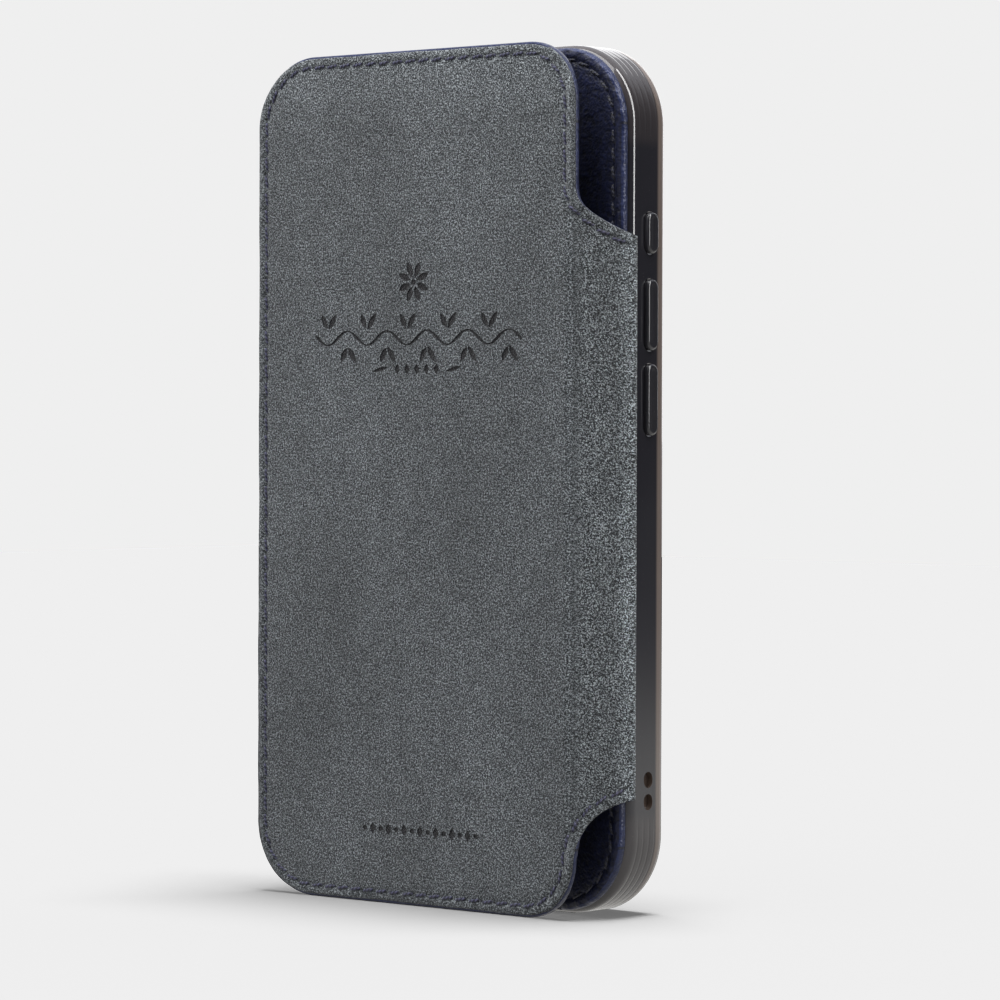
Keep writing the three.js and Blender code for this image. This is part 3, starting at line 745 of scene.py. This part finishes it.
RIB_DEPTHS = (2.7, 4.2, 5.7, 7.2)
RIB_ZONE = 16.8
RIB_CUT = 0.045
RIB_HALF_WIDTH = 0.17
SIDE_MIDDLE = DEPTH / 2 + 0.3
PADS = ("action_button_pad", "volume_up_pad", "volume_down_pad", "side_button_pad")
PAD_GAP = 0.18
PAD_EDGE = 0.55
STRAP_DEPTH = 1.1
STRAP_HEIGHTS = (19.7, 23.5)
STRAP_HOLE = (2.3, 2.75)
STRAP_LINK = (2.0, 5.8)
STRAP_ZONE = (18, 25.2)
SLOTS = ((0, 13.5, 6.6), (-16.75, 14, 3), (16.75, 14, 3))
GUARD_WALL = 1.3
GUARD_CORNER = 9
GUARD_EDGE = 0.45


def sweep_path(half_width, low, high, corner, step, middle_x=0.0, corner_steps=26):
    """Points round a rounded rectangle with their outward directions."""
    corners = rect_corners(middle_x - half_width, middle_x + half_width, low, high, corner)
    arcs = [arc(middle, corner, start, start + 90, corner_steps) for middle, start in corners]
    points, directions = [], []
    for i, (middle, _) in enumerate(corners):
        points += list(arcs[i])
        directions += list((arcs[i] - middle) / corner)
        a, b = arcs[i][-1], arcs[(i + 1) % 4][0]
        count = max(2, int(np.hypot(*(b - a)) / step + 1e-6))
        for t in np.arange(1, count) / count:
            points.append(a + (b - a) * t)
            directions.append(directions[-1])
    return np.array(points), np.array(directions)


def swept_ring(path, directions, profile, adjust=None):
    """A closed profile of (inset, y) points swept round a path."""
    profile = np.array(profile, float)
    rings = []
    for point, direction in zip(path, directions):
        inset = profile[:, 0].copy()
        if adjust is not None:
            inset = inset + adjust(point, direction, profile)
        rings.append(np.column_stack([
            point[0] - direction[0] * inset,
            profile[:, 1],
            point[1] - direction[1] * inset,
        ]))
    return np.vstack(rings), ring_faces(len(path), len(profile), closed=True)


def pill_ring(width, length, count=12):
    """A slot outline about its middle, longer along its second direction."""
    r = width / 2
    top = arc((0, length / 2 - r), r, 0, 180, count)
    bottom = arc((0, -length / 2 + r), r, 180, 360, count)
    return np.vstack([top, bottom])


def crosswise(outline, middle, axis, at):
    """An outline set across X (axis 0) or Z (axis 2). Its first direction runs along Y."""
    ring = np.empty((len(outline), 3))
    ring[:, axis] = at
    ring[:, 1] = outline[:, 0] + middle[1]
    ring[:, 2 - axis] = outline[:, 1] + middle[2 - axis]
    return ring


def prism(name, outline, middle, axis, ends):
    """An outline made solid between two places on an axis."""
    rings = [crosswise(outline, middle, axis, at) for at in ends]
    return make_object(name, np.vstack(rings), ring_faces(2, len(outline)), [SMOKE_LOOK])


def outward(mesh, sharp=None):
    """Turns a mesh's faces outwards."""
    bm = bmesh.new()
    bm.from_mesh(mesh)
    bmesh.ops.recalc_face_normals(bm, faces=bm.faces)
    bm.to_mesh(mesh)
    bm.free()
    if sharp is not None:
        finish_mesh(mesh, sharp)


def cut_away(piece, cutters):
    """Cuts other meshes out of a piece and writes the result into it."""
    outward(piece.data)
    for cutter in cutters:
        outward(cutter.data)
        change = piece.modifiers.new("cut", "BOOLEAN")
        change.operation = "DIFFERENCE"
        change.solver = "EXACT"
        change.object = cutter
    bpy.context.view_layer.update()
    graph = bpy.context.evaluated_depsgraph_get()
    result = bpy.data.meshes.new_from_object(piece.evaluated_get(graph))
    old = piece.data
    piece.modifiers.clear()
    piece.data = result
    bpy.data.meshes.remove(old)
    for cutter in cutters:
        bpy.data.objects.remove(cutter)
    co = np.zeros(len(result.vertices) * 3)
    result.vertices.foreach_get("co", co)
    store_flat(result, (co.reshape(-1, 3) - np.array(ORIGIN)) / MM)
    finish_mesh(result, 32)


def frame_profile():
    points = [(FLANGE, PLATE_DEPTH), (FLANGE, 0.0)]
    points += list(arc((ROUNDING, ROUNDING), ROUNDING, 270, 180, 11))
    points += [(0.0, y) for y in np.arange(ROUNDING + 0.15, DEPTH - ROUNDING, 0.15)]
    points += list(arc((ROUNDING, DEPTH - ROUNDING), ROUNDING, 180, 90, 11))
    lip, low = WALL + LIP, DEPTH - LIP_DEPTH
    points += [(lip - 0.12, DEPTH), (lip, DEPTH - 0.12), (lip, low + 0.1), (lip - 0.1, low)]
    points += [(WALL + 0.15, low), (WALL, low - 0.15)]
    points += [(WALL, y) for y in np.linspace(DEPTH - 2.0, PLATE_DEPTH + 0.1, 5)]
    return points + [(WALL + 0.1, PLATE_DEPTH)]


def rib_depth(point, direction, profile):
    """Four shallow grooves round each corner, fading out along the straight walls."""
    from_end = min(point[1], HEIGHT - point[1])
    from_side = HALF_WIDTH - abs(point[0])
    reach = from_end if abs(direction[0]) > abs(direction[1]) else from_side
    fade = 1 - float(smooth(RIB_ZONE - 1.6, RIB_ZONE, reach))
    cuts = sum(groove(profile[:, 1], depth, RIB_HALF_WIDTH, RIB_CUT * fade) for depth in RIB_DEPTHS)
    return np.where(profile[:, 0] < 0.6, cuts, 0.0)


def pad_place(node):
    """A pad's middle, its width and length, and the side it is on."""
    low, high = node_box(node)
    middle = [(a + b) / 2 for a, b in zip(low, high)]
    return middle, high[1] - low[1], high[2] - low[2], 1 if low[0] > 0 else -1


def build_frame():
    path, directions = sweep_path(HALF_WIDTH, 0.0, HEIGHT, CORNER, 1.2, corner_steps=30)
    swept = swept_ring(path, directions, frame_profile(), rib_depth)
    piece = make_object("soft_frame", *swept, [SMOKE_LOOK])
    cutters = []
    for node in PADS:
        middle, width, length, side = pad_place(node)
        window = pill_ring(width + 2 * PAD_GAP, length + 2 * PAD_GAP)
        ends = side * (HALF_WIDTH - WALL - 1), side * (HALF_WIDTH + 1)
        cutters.append(prism("window", window, middle, 0, ends))
    strap_end = HALF_WIDTH - STRAP_DEPTH
    for z in STRAP_HEIGHTS:
        ends = strap_end, HALF_WIDTH + 1
        cutters.append(prism("strap", pill_ring(*STRAP_HOLE), (0, SIDE_MIDDLE, z), 0, ends))
    middle, ends = (0, SIDE_MIDDLE, sum(STRAP_HEIGHTS) / 2), (strap_end + 0.003, HALF_WIDTH - 0.5)
    cutters.append(prism("link", pill_ring(*STRAP_LINK), middle, 0, ends))
    for x, width, depth in SLOTS:
        cutters.append(prism("slot", pill_ring(depth, width), (x, SIDE_MIDDLE, 0), 2, (-1, WALL + 1)))
    cut_away(piece, cutters)
    piece.data.materials.append(HOLE_LOOK)
    for face in piece.data.polygons:
        x, y, z = local(face.center)
        in_wall = HALF_WIDTH - 1.3 < x < HALF_WIDTH - 0.02
        if in_wall and abs(y - SIDE_MIDDLE) < 1.4 and STRAP_ZONE[0] < z < STRAP_ZONE[1]:
            face.material_index = 1
    return piece


def build_pad(node, name):
    """A button pad: a pill with rounded edges, slightly dished, on a foot inside its window."""
    low, high = node_box(node)
    middle, width, length, side = pad_place(node)
    inner, outer = (low[0], high[0]) if side > 0 else (high[0], low[0])
    total = abs(outer - inner)
    steps = [(0.0, 0.0), *arc((PAD_EDGE, total - PAD_EDGE), PAD_EDGE, 180, 90, 7)]
    steps += [(0.85, total - 0.03), (1.15, total - 0.06), (1.4, total - 0.07)]
    rings = []
    for shrink, rise in steps:
        outline = pill_ring(width - 2 * shrink, length - 2 * shrink)
        rings.append(crosswise(outline, middle, 0, inner + side * rise))
    piece = make_object(name, np.vstack(rings), ring_faces(len(rings), len(rings[0])), [PAD_LOOK])
    outward(piece.data, 50)
    return piece


def build_guard():
    low, high = node_box("camera_guard")
    half, middle_x = (high[0] - low[0]) / 2, (low[0] + high[0]) / 2
    path, directions = sweep_path(half, low[2], high[2], GUARD_CORNER + GUARD_WALL, 3.0, middle_x)
    shoulder = low[1] + GUARD_EDGE
    profile = [(0, 0), (0, shoulder)]
    profile += list(arc((GUARD_EDGE, shoulder), GUARD_EDGE, 195, 270, 6))
    profile += list(arc((GUARD_WALL - GUARD_EDGE, shoulder), GUARD_EDGE, 270, 345, 6))
    profile += [(GUARD_WALL, shoulder), (GUARD_WALL, 0)]
    piece = make_object("camera_ring", *swept_ring(path, directions, profile), [SMOKE_LOOK])
    outward(piece.data, 40)
    return piece


def camera_outline(grow):
    """The camera opening, inside the guard's wall, grown by a distance."""
    low, high = node_box("camera_guard")
    g = grow - GUARD_WALL
    return rounded_rect(low[0] - g, high[0] + g, low[2] - g, high[2] + g, GUARD_CORNER + grow)


def build_plate():
    outline = Outline(shell_outline(FLANGE + 0.1), 1.5, holes=[camera_outline(0.02)])
    return sheet_piece(
        "clear_plate", outline,
        lambda p, d: -PLATE_DEPTH + drop_at_edge(d, 0.12),
        lambda p, d: -drop_at_edge(d, 0.12),
        place_on_back, [PLATE_LOOK], [0.06, 0.14, 1.0], np.arange(-33, 33, 4.0), np.arange(4, 147, 4.0),
    )


# ---- Shell: the leather on the back

BACK_SEAM = 2.1
PANEL_INSET = 0.6
PANEL_THICKNESS = 1.3
HOLE_GROW = 1.6
BARE_LEFT = -24
BARE_HIGH = 138


def panel_outline(inset):
    return shell_outline(PANEL_INSET + inset)


def back_seam():
    """The outer seam, which leaves out the narrow strip beside the camera opening."""
    path = resample(np.vstack([panel_outline(BACK_SEAM)] * 2), 0.25)
    half = len(path) // 2
    left = -HALF_WIDTH + PANEL_INSET + BACK_SEAM
    start = np.argmin(np.hypot(path[:half, 0] - left, path[:half, 1] - 100.0))
    path = path[start : start + half]
    opening = camera_outline(HOLE_GROW)
    return path[(distance_to(path, opening, True) > 1.3) & ~inside(path, opening)]


def camera_seam():
    """The seam round the camera opening, on the two sides where the panel is wide enough."""
    ring = resample(camera_outline(HOLE_GROW + BACK_SEAM), 0.25, closed=True)
    keep = (ring[:, 0] > BARE_LEFT) & (ring[:, 1] < BARE_HIGH)
    first = np.argmax(~keep)
    return np.roll(ring, -first, 0)[np.roll(keep, -first)]


def build_panel(seam, inner_seam):
    outer = panel_outline(0)
    outline = Outline(outer, 0.7, holes=[camera_outline(HOLE_GROW)])
    needle = np.vstack([seam_points(seam), seam_points(inner_seam)])

    def high(p, d):
        edge = distance_to(p, outer, True)
        rolled = np.where(edge <= d + 1e-6, drop_at_edge(d, 0.95, 1.15), drop_at_edge(d, 0.5, 0.5))
        to_seam = np.minimum(distance_to(p, seam, False), distance_to(p, inner_seam, False))
        sewn = groove(to_seam, 0.0, 0.55, 0.16) + needle_holes(p, to_seam, needle, 1.2, 0.4, 0.14)
        return PANEL_THICKNESS - rolled - sewn + groove(d, 1.3, 0.5, 0.10)

    rings = [0.04, 0.12, 0.25, 0.45, 0.7, 0.95, 1.2, 1.5, 1.7, 1.9, 2.1, 2.3, 2.5, 2.8, 3.3]
    return sheet_piece(
        "back_hide", outline, level(0.02), high, place_on_back, [NAVY_LOOK, EDGE_LOOK], rings,
        np.arange(-33, 33.5, 2.2), np.arange(3, 148, 2.2),
    )


# ---- Spine and flap


UPPER_CURVE, LOWER_CURVE = bezier(UPPER_END), bezier(LOWER_END)


def curve_until(curve, u):
    """The part of an end curve from the flap to a distance u."""
    return np.vstack([curve[curve[:, 0] <= u], [(u, np.interp(u, *curve.T))]])


def flap_side(split):
    """The free edge, from the split's upper end round the flap to the split's lower end."""
    hinge_x, free_x = TAB - HINGE_CORNER, FLAP_LEFT + FREE_CORNER
    return np.vstack([
        curve_until(UPPER_CURVE, split)[::-1],
        arc((hinge_x, HEIGHT - HINGE_CORNER), HINGE_CORNER, 0, 90, 30),
        arc((free_x, HEIGHT - FREE_CORNER), FREE_CORNER, 90, 180, 36),
        arc((free_x, FREE_CORNER), FREE_CORNER, 180, 270, 36),
        arc((hinge_x, HINGE_CORNER), HINGE_CORNER, 270, 360, 30),
        curve_until(LOWER_CURVE, split),
    ])


def leather_thickness(u):
    t = FLAP_LEATHER + (SPINE_LEATHER - FLAP_LEATHER) * smooth(-3.2, 0.6, u)
    return t + (BEND_LEATHER - SPINE_LEATHER) * smooth(8.4, 10.0, u)


def suede_thickness(u):
    return SUEDE - 0.12 * smooth(9.0, 10.2, u)


def build_hide(seam, needle):
    """The outer leather of the flap and the spine, up to the split."""
    outline = Outline(flap_side(SPLIT), 0.55, split=True)

    def low(p, d):
        to_seam = distance_to(p, seam, False)
        sewn = groove(to_seam, 0, 0.5, 0.12) + needle_holes(p, to_seam, needle, 1.2, 0.4, 0.12)
        t = leather_thickness(p[:, 0])
        return -t + drop_at_edge(d, 0.45) + sewn * np.clip(t - 0.4, 0, 1)

    rings = [0.05, 0.14, 0.26, 0.42, 0.7, 1.1, 1.5, 1.75, 2.0, 2.25, 2.6, 3.1]
    columns = [np.arange(-71, -5, 2.4), np.arange(-4.6, 5, 0.5), np.arange(5.2, SPLIT - 0.2, 0.7)]
    return sheet_piece(
        "flap_hide", outline, low, lambda p, d: -0.02 - drop_at_edge(d, 0.3), place_on_leather,
        [NAVY_LOOK, EDGE_LOOK], rings, np.concatenate(columns), np.arange(2.2, HEIGHT - 2, 2.2),
    )


def suede_edge():
    """The suede's cut edge: a little inside the leather's, wandering, and further in at both ends."""
    edge = resample(flap_side(SPLIT + 0.6), 0.4)
    travel = np.arange(len(edge)) * 0.4
    wander = np.sin(travel / 3.1) + np.sin(travel / 7.3 + 1) + np.sin(travel / 1.7 + 2) * 0.6
    inset = SUEDE_INSET * (0.42 + 0.2 * wander)
    towards = inward(edge, 1.0) - edge
    inset = inset + 0.32 * towards[:, 1] ** 2 * (edge[:, 0] < -5)
    edge = edge + towards * inset[:, None]
    edge = edge[edge[:, 0] <= SPLIT]
    edge[0, 0] = edge[-1, 0] = SPLIT
    return edge


def build_suede(seam, needle):
    """The suede of the flap and the spine, up to the split, with its blind-stamped ornament."""
    outline = Outline(suede_edge(), 0.5, split=True)
    loops = ornament_loops()
    inner = [inward(loop, 0.08, closed=True) for loop in loops]

    def stamped(p):
        hit = np.zeros(len(p), bool)
        for loop in inner:
            box = (p > loop.min(0) - 0.01).all(1) & (p < loop.max(0) + 0.01).all(1)
            if box.any():
                on = inside(p[box], loop) | (distance_to(p[box], loop, True) < 0.02)
                hit[np.flatnonzero(box)[on]] = True
        return hit

    def high(p, d):
        u, z = p.T
        to_seam = distance_to(p, seam, False)
        sewn = groove(to_seam, 0, 0.5, 0.13) + needle_holes(p, to_seam, needle, 1.3, 0.42, 0.16)
        lumps = 0.02 * np.sin(u * 1.9 + 3 * np.sin(z * 0.7)) * np.sin(z * 1.6 + 2 * np.sin(u * 0.9))
        top = suede_thickness(u) - drop_at_edge(d, 0.28) - sewn + groove(d, 1.0, 0.55, 0.10) + lumps
        return top - STAMP_DEPTH * stamped(p)

    rings = [0.05, 0.14, 0.28, 0.5, 0.8, 1.1, 1.35, 1.6, 1.85, 2.1, 2.5, 3.0]
    columns = [np.arange(-71, -5, 1.5), np.arange(-4.6, 5, 0.4), np.arange(5.1, SPLIT - 0.2, 0.6)]
    return sheet_piece(
        "flap_suede", outline, level(0.02), high, place_on_leather, [SUEDE_LOOK, STAMP_LOOK], rings,
        np.concatenate(columns), np.arange(1.5, HEIGHT - 1.5, 1.5), loops + inner,
        pick=lambda centres: np.logical_or.reduce([inside(centres, loop) for loop in loops]).astype(int),
    )


def leaf(u, z, length, width, angle):
    """A pointed leaf outline, anticlockwise."""
    t = np.linspace(0, 1, 14)
    half = width / 2 * np.sin(math.pi * t) ** 0.8
    along = (t - 0.5) * length
    x, y = np.concatenate([along, along[-2:0:-1]]), np.concatenate([-half, half[-2:0:-1]])
    c, s = math.cos(math.radians(angle)), math.sin(math.radians(angle))
    return np.stack([u + x * c - y * s, z + x * s + y * c], 1)


def disc(u, z, radius, count=18):
    return arc((u, z), radius, 0, 360 * (1 - 1 / count), count)


def stroke(path, half_widths):
    """A brush stroke's outline, anticlockwise, along a path."""
    half = half_widths[:, None]
    side = inward(path, 1.0) - path
    return np.vstack([path - side * half, (path + side * half)[::-1]])


def rhombus(u, z, width, height):
    corners = [(u + width / 2, z), (u, z + height / 2), (u - width / 2, z), (u, z - height / 2)]
    return resample(corners, 0.4, closed=True)


def ornament_loops():
    """A made-up ornament: a rosette, a vine with leaves, and small rows of rhombi and dots."""
    middle, loops = ORNAMENT_MIDDLE, []
    for i in range(8):
        angle = 22.5 + 45 * i
        a = math.radians(angle)
        u, z = middle + 2.3 * math.cos(a), ROSETTE_HEIGHT + 2.3 * math.sin(a)
        loops.append(leaf(u, z, 2.9, 1.25, angle))
    loops.append(disc(middle, ROSETTE_HEIGHT, 0.55))
    middle += 0.8
    t = np.linspace(-24.2, 24.2, 150)
    phase = t * 2 * math.pi / VINE_WAVE
    vine = np.column_stack([middle + t, VINE_HEIGHT + 1.25 * np.sin(phase)])
    loops.append(stroke(vine, 0.14 + 0.16 * np.cos(phase) ** 2))
    for i in range(10):
        at = (i - 4.5) * VINE_WAVE / 2
        up = 1 if i % 2 == 0 else -1
        for lean, reach, size in ((55, 1.95, 3.5), (118, 1.8, 2.9)):
            a = math.radians(lean)
            u, z = middle + at + reach * math.cos(a), VINE_HEIGHT + up * (1.35 + reach * math.sin(a))
            loops.append(leaf(u, z, size, 1.15, up * lean))
    for i in range(5):
        loops.append(rhombus(middle + (i - 2) * 2.3, RHOMBI_HEIGHT, 1.3, 1.9))
    for side in (-1, 1):
        loops.append(leaf(middle + side * 8.6, RHOMBI_HEIGHT, 3.6, 0.75, 14))
    middle += 1.0
    for i in range(15):
        place = (middle + (i - 7) * 1.86, LOWER_ROW_HEIGHT)
        loops.append(rhombus(*place, 1.5, 2.3) if i % 2 else disc(*place, 0.5, 14))
    return loops


def seam_path():
    path = inward(resample(flap_side(SPLIT + 0.4), 0.25), SEAM_INSET)
    return path[path[:, 0] < SPLIT - 0.1]


def even(height):
    """A face at one height, given by distances along the leather."""
    return lambda u, z=None: np.full(np.shape(u), height)


def root_sheet(name, start, stop, faces_at, inset, material):
    """A stretch of one sheet round the root. faces_at gives the heights of its outer and inner
    faces at distances u, and inset is how far it stays inside the spine's ends."""
    u = np.linspace(start, stop, max(6, int((stop - start) / 0.14)))
    grid_u, share = np.meshgrid(u, np.linspace(0, 1, 40), indexing="ij")
    low = np.interp(grid_u, *LOWER_CURVE.T) + inset
    high = np.interp(grid_u, *UPPER_CURVE.T) - inset
    grid_z = low + (high - low) * share
    flat = np.vstack([
        np.column_stack([grid_u.ravel(), grid_z.ravel(), face(grid_u).ravel()]) for face in faces_at
    ])
    rows, cols = grid_u.shape
    count = rows * cols
    at = lambda i, j: i * cols + j
    faces = []
    for i in range(rows - 1):
        for j in range(cols - 1):
            quad = (at(i, j), at(i + 1, j), at(i + 1, j + 1), at(i, j + 1))
            faces += [quad, tuple(count + k for k in reversed(quad))]
    border = [at(i, 0) for i in range(rows)] + [at(rows - 1, j) for j in range(1, cols)]
    border += [at(i, cols - 1) for i in range(rows - 2, -1, -1)]
    border += [at(0, j) for j in range(cols - 2, 0, -1)]
    for a, b in zip(border, border[1:] + border[:1]):
        faces.append((b, a, a + count, b + count))
    piece = make_object(name, place_on_leather(flat), faces, [material], flat)
    outward(piece.data, 40)
    return piece


def build_root_pieces():
    """The thin end of the leather and the suede: round the root bend and on to the back."""
    last = TURN_END + 1.45
    hide = even(-0.02), lambda u: -leather_thickness(u)
    nap = (lambda u: suede_thickness(u) - 0.12 * smooth(TURN_END, last, u)), even(0.02)
    pieces = []
    for place, start, stop in (("outer", TURN_MIDDLE, last), ("inner", SPLIT, TURN_MIDDLE)):
        pieces.append(root_sheet("root_hide_" + place, start, stop, hide, 0, NAVY_LOOK))
        pieces.append(root_sheet("root_suede_" + place, start, stop, nap, SUEDE_INSET, SUEDE_LOOK))
    return pieces


# ---- Putting the pieces on the bodies; the pieces that span a bend stay unattached


def finish_piece(piece, body, slot, *nodes):
    if nodes:
        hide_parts(*nodes)
    if isinstance(body, str):
        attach(piece, body)
    else:
        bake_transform(piece)


def turn_point(angle):
    """A point of the root bend, by how many degrees the bend has turned."""
    a = SPINE_HEADING + math.radians(angle)
    return TURN_CENTRE[0] + TURN_RADIUS * math.sin(a), TURN_CENTRE[1] - TURN_RADIUS * math.cos(a)


def fold_point(reach):
    """A point of the fold, by how far it is from the fold's axis."""
    across = SPINE_HEADING / 2
    return FOLD[0] + reach * math.cos(across), FOLD[1] + reach * math.sin(across)


def bend_between(first, second, start, end):
    """Two bodies and the points where the turn between them starts and ends."""
    return first, second, world(*start, HEIGHT / 2), world(*end, HEIGHT / 2)


HALF_TURN = math.degrees(TURN) / 2
ROOT_BLEND = bend_between("shell", "root_strip", turn_point(2 * HALF_TURN + 14), turn_point(HALF_TURN + 26))
SPINE_BLEND = bend_between("root_strip", "spine", turn_point(HALF_TURN - 26), turn_point(-14))
FOLD_BLEND = bend_between("spine", "flap", fold_point(1.9), fold_point(-1.9))

finish_piece(build_frame(), "shell", "smoke_plastic", "bumper_frame")
finish_piece(build_plate(), "shell", "smoke_plastic", "back_plate")
finish_piece(build_guard(), "shell", "smoke_plastic", "camera_guard")
BACK_SEAMS = back_seam(), camera_seam()
finish_piece(build_panel(*BACK_SEAMS), "shell", "navy_leather", "back_leather")
panel_face = even(PANEL_THICKNESS - 0.14)
for name, seam, node in zip(("back", "camera"), BACK_SEAMS, ("back_stitching", "camera_stitching")):
    row = stitch_row(name + "_stitches", seam, panel_face, place_on_back, SHADED_THREAD_LOOK)
    finish_piece(row, "shell", "navy_thread", node)
for node in PADS:
    body = node.removesuffix("_pad")
    finish_piece(build_pad(node, body + "_cap"), body, "pad_plastic", node)

SEAM = seam_path()
NEEDLE = seam_points(SEAM)
finish_piece(build_hide(SEAM, NEEDLE), FOLD_BLEND, "navy_leather", "flap_leather", "spine_leather")
finish_piece(build_suede(SEAM, NEEDLE), FOLD_BLEND, "grey_suede", "flap_lining", "spine_lining")
suede_face = lambda u, z: suede_thickness(np.asarray(u)) - 0.14
hide_face = lambda u, z: -leather_thickness(np.asarray(u)) + 0.12
row = stitch_row("flap_stitches", SEAM, suede_face, place_on_leather, THREAD_LOOK)
finish_piece(
    row, FOLD_BLEND, "navy_thread", "flap_stitching", "spine_stitching_upper", "spine_stitching_lower",
)
row = stitch_row("flap_stitches_outside", SEAM, hide_face, place_on_leather, THREAD_LOOK, side=-1)
finish_piece(row, FOLD_BLEND, "navy_thread")
OUTER_HIDE, OUTER_SUEDE, INNER_HIDE, INNER_SUEDE = build_root_pieces()
finish_piece(OUTER_HIDE, ROOT_BLEND, "navy_leather", "root_strip")
finish_piece(OUTER_SUEDE, ROOT_BLEND, "grey_suede")
finish_piece(INNER_HIDE, SPINE_BLEND, "navy_leather")
finish_piece(INNER_SUEDE, SPINE_BLEND, "grey_suede")

KEPT_NODES = {
    MAGNET_LOOK: ("magnet_ring", "alignment_magnet", "flap_magnet_upper", "flap_magnet_lower"),
    BOARD_LOOK: ("back_board", "spine_stiffener", "flap_board"),
}
for look, nodes in KEPT_NODES.items():
    for node in nodes:
        for slot in frame["nodes"][node].material_slots:
            slot.material = look

# ---- Floor, light and camera


def plane(name, size, z, material):
    mesh = bpy.data.meshes.new(name)
    s = size / 2
    mesh.from_pydata([(-s, -s, z), (s, -s, z), (s, s, z), (-s, s, z)], [], [(0, 1, 2, 3)])
    mesh.materials.append(material)
    made = add_object(name, mesh)
    return made


def floor_material(name, tone):
    g = Graph(name, "object")
    return g.done(tone, None, 0.9, Specular_IOR_Level=0.0)


FLAG_STEPS = (0.2, 0.62, 1.0, 0.12)
ZENITH_STEPS = (0.15, 0.95, 0.30, 1.1)

# The floor that the camera sees takes only the shadow; the other one is seen only in reflections.
FLOOR = plane("floor", 3.0, 0.0, floor_material("pale_floor", srgb(54, 54, 54)))
FLOOR.is_shadow_catcher = True
SHINE = plane("floor_shine", 6.0, 0.0001, floor_material("floor_shine", srgb(120, 119, 117)))
SHINE.visible_camera = SHINE.visible_diffuse = SHINE.visible_shadow = SHINE.visible_transmission = False


def studio_world():
    """A pale backdrop. The light that it sends out comes mostly from above, and the right side,
    where a studio has a dark flag, sends least."""
    bpy.context.scene.world = bpy.data.worlds.new("studio")
    g = Graph(bpy.context.scene.world, "world")
    parts = g.split()
    shares = []
    for part, steps in ((parts["X"], FLAG_STEPS), (parts["Z"], ZENITH_STEPS)):
        sockets = dict(zip(("From Min", "From Max", "To Min", "To Max"), steps), Value=part)
        shares.append(g.add("MapRange", sockets, interpolation_type="SMOOTHSTEP"))
    lit = g.add("Background", {"Color": (0.9, 0.93, 1.0, 1), "Strength": g.maths("MULTIPLY", *shares)})
    seen = g.nodes["Background"]
    seen.inputs["Color"].default_value = srgb(239, 239, 239)
    mixed = g.add("MixShader", {0: g.add("LightPath", {}, "Is Camera Ray"), 1: lit, 2: seen.outputs[0]})
    g.feed(g.nodes["World Output"].inputs["Surface"], mixed)


studio_world()


def light_group(name, members, state):
    """A set of things that a light reaches, or leaves out."""
    group = bpy.data.collections.new(name)
    for index, member in enumerate(members):
        group.objects.link(member)
        group.collection_objects[index].light_linking.link_state = state
    return group


NOT_FLOORS = light_group("not_floors", (FLOOR, SHINE), "EXCLUDE")
ONLY_FLOOR = light_group("only_floor", (FLOOR,), "INCLUDE")
ONLY_SHINE = light_group("only_shine", (SHINE,), "INCLUDE")


def area_light(name, place, target, size, power, group=NOT_FLOORS, diffuse=True, gloss=True):
    data = bpy.data.lights.new(name, "AREA")
    data.shape = "RECTANGLE"
    data.size, data.size_y = size
    data.energy = power
    lamp = add_object(name, data, place, (Vector(target) - Vector(place)).to_track_quat("-Z", "Y"))
    lamp.visible_diffuse, lamp.visible_glossy = diffuse, gloss
    lamp.light_linking.receiver_collection = group
    return data


area_light("overhead", (-0.06, -0.17, 0.46), (-0.02, 0, 0.1), (0.35, 0.3), 1.5)
area_light("front", (-0.7, -1.3, 0.45), (0, 0, 0.07), (1.3, 1.0), 4.4)
area_light("right", (0.45, 0.0, 0.5), (0, 0, 0.1), (0.35, 0.35), 1.2, gloss=False)
area_light("strip", (0.95, 0.10, 0.72), (0.035, 0, 0.085), (0.30, 1.8), 20.0, diffuse=False)
area_light("back", (-0.5, 1.2, 0.5), (0, 0, 0.07), (0.9, 0.9), 3.5)
area_light("pool", (0.15, 0.17, 0.5), (0.15, 0.17, 0), (0.3, 0.3), 13.0, ONLY_SHINE).use_shadow = False
area_light("floor_light", (0.12, 0.08, 2.0), (0, 0, 0), (0.7, 0.7), 250.0, ONLY_FLOOR)
area_light("floor_fill", (0, 0, 2.0), (0, 0, 0), (0.7, 0.7), 58.0, ONLY_FLOOR).use_shadow = False

# The camera: seen from the back, turned to the side with the spine, and a little above the middle.
AZIMUTH = math.radians(41.0)
PITCH = math.radians(1.09)
ROLL = math.radians(0.17)
DISTANCE = 760.0
FOCAL = 155.7
AIM = (5.8, 71.0)

level_ahead = Vector((-math.sin(AZIMUTH), math.cos(AZIMUTH), 0))
forward = level_ahead * math.cos(PITCH) - Vector((0, 0, math.sin(PITCH)))
right = Vector((math.cos(AZIMUTH), math.sin(AZIMUTH), 0))
up = right.cross(forward)
eye = Vector((0, 0, AIM[1])) - DISTANCE * forward + AIM[0] * right
turned_right = right * math.cos(ROLL) + up * math.sin(ROLL)
turned_up = up * math.cos(ROLL) - right * math.sin(ROLL)
turn = Matrix((turned_right, turned_up, -forward)).transposed().to_quaternion()
camera_data = bpy.data.cameras.new("camera")
camera_data.sensor_width = 36.0
camera_data.lens = FOCAL
camera_data.clip_start, camera_data.clip_end = 0.05, 20.0
bpy.context.scene.camera = add_object("camera", camera_data, world(*eye), turn)
bpy.context.scene.view_settings.view_transform = "Standard"
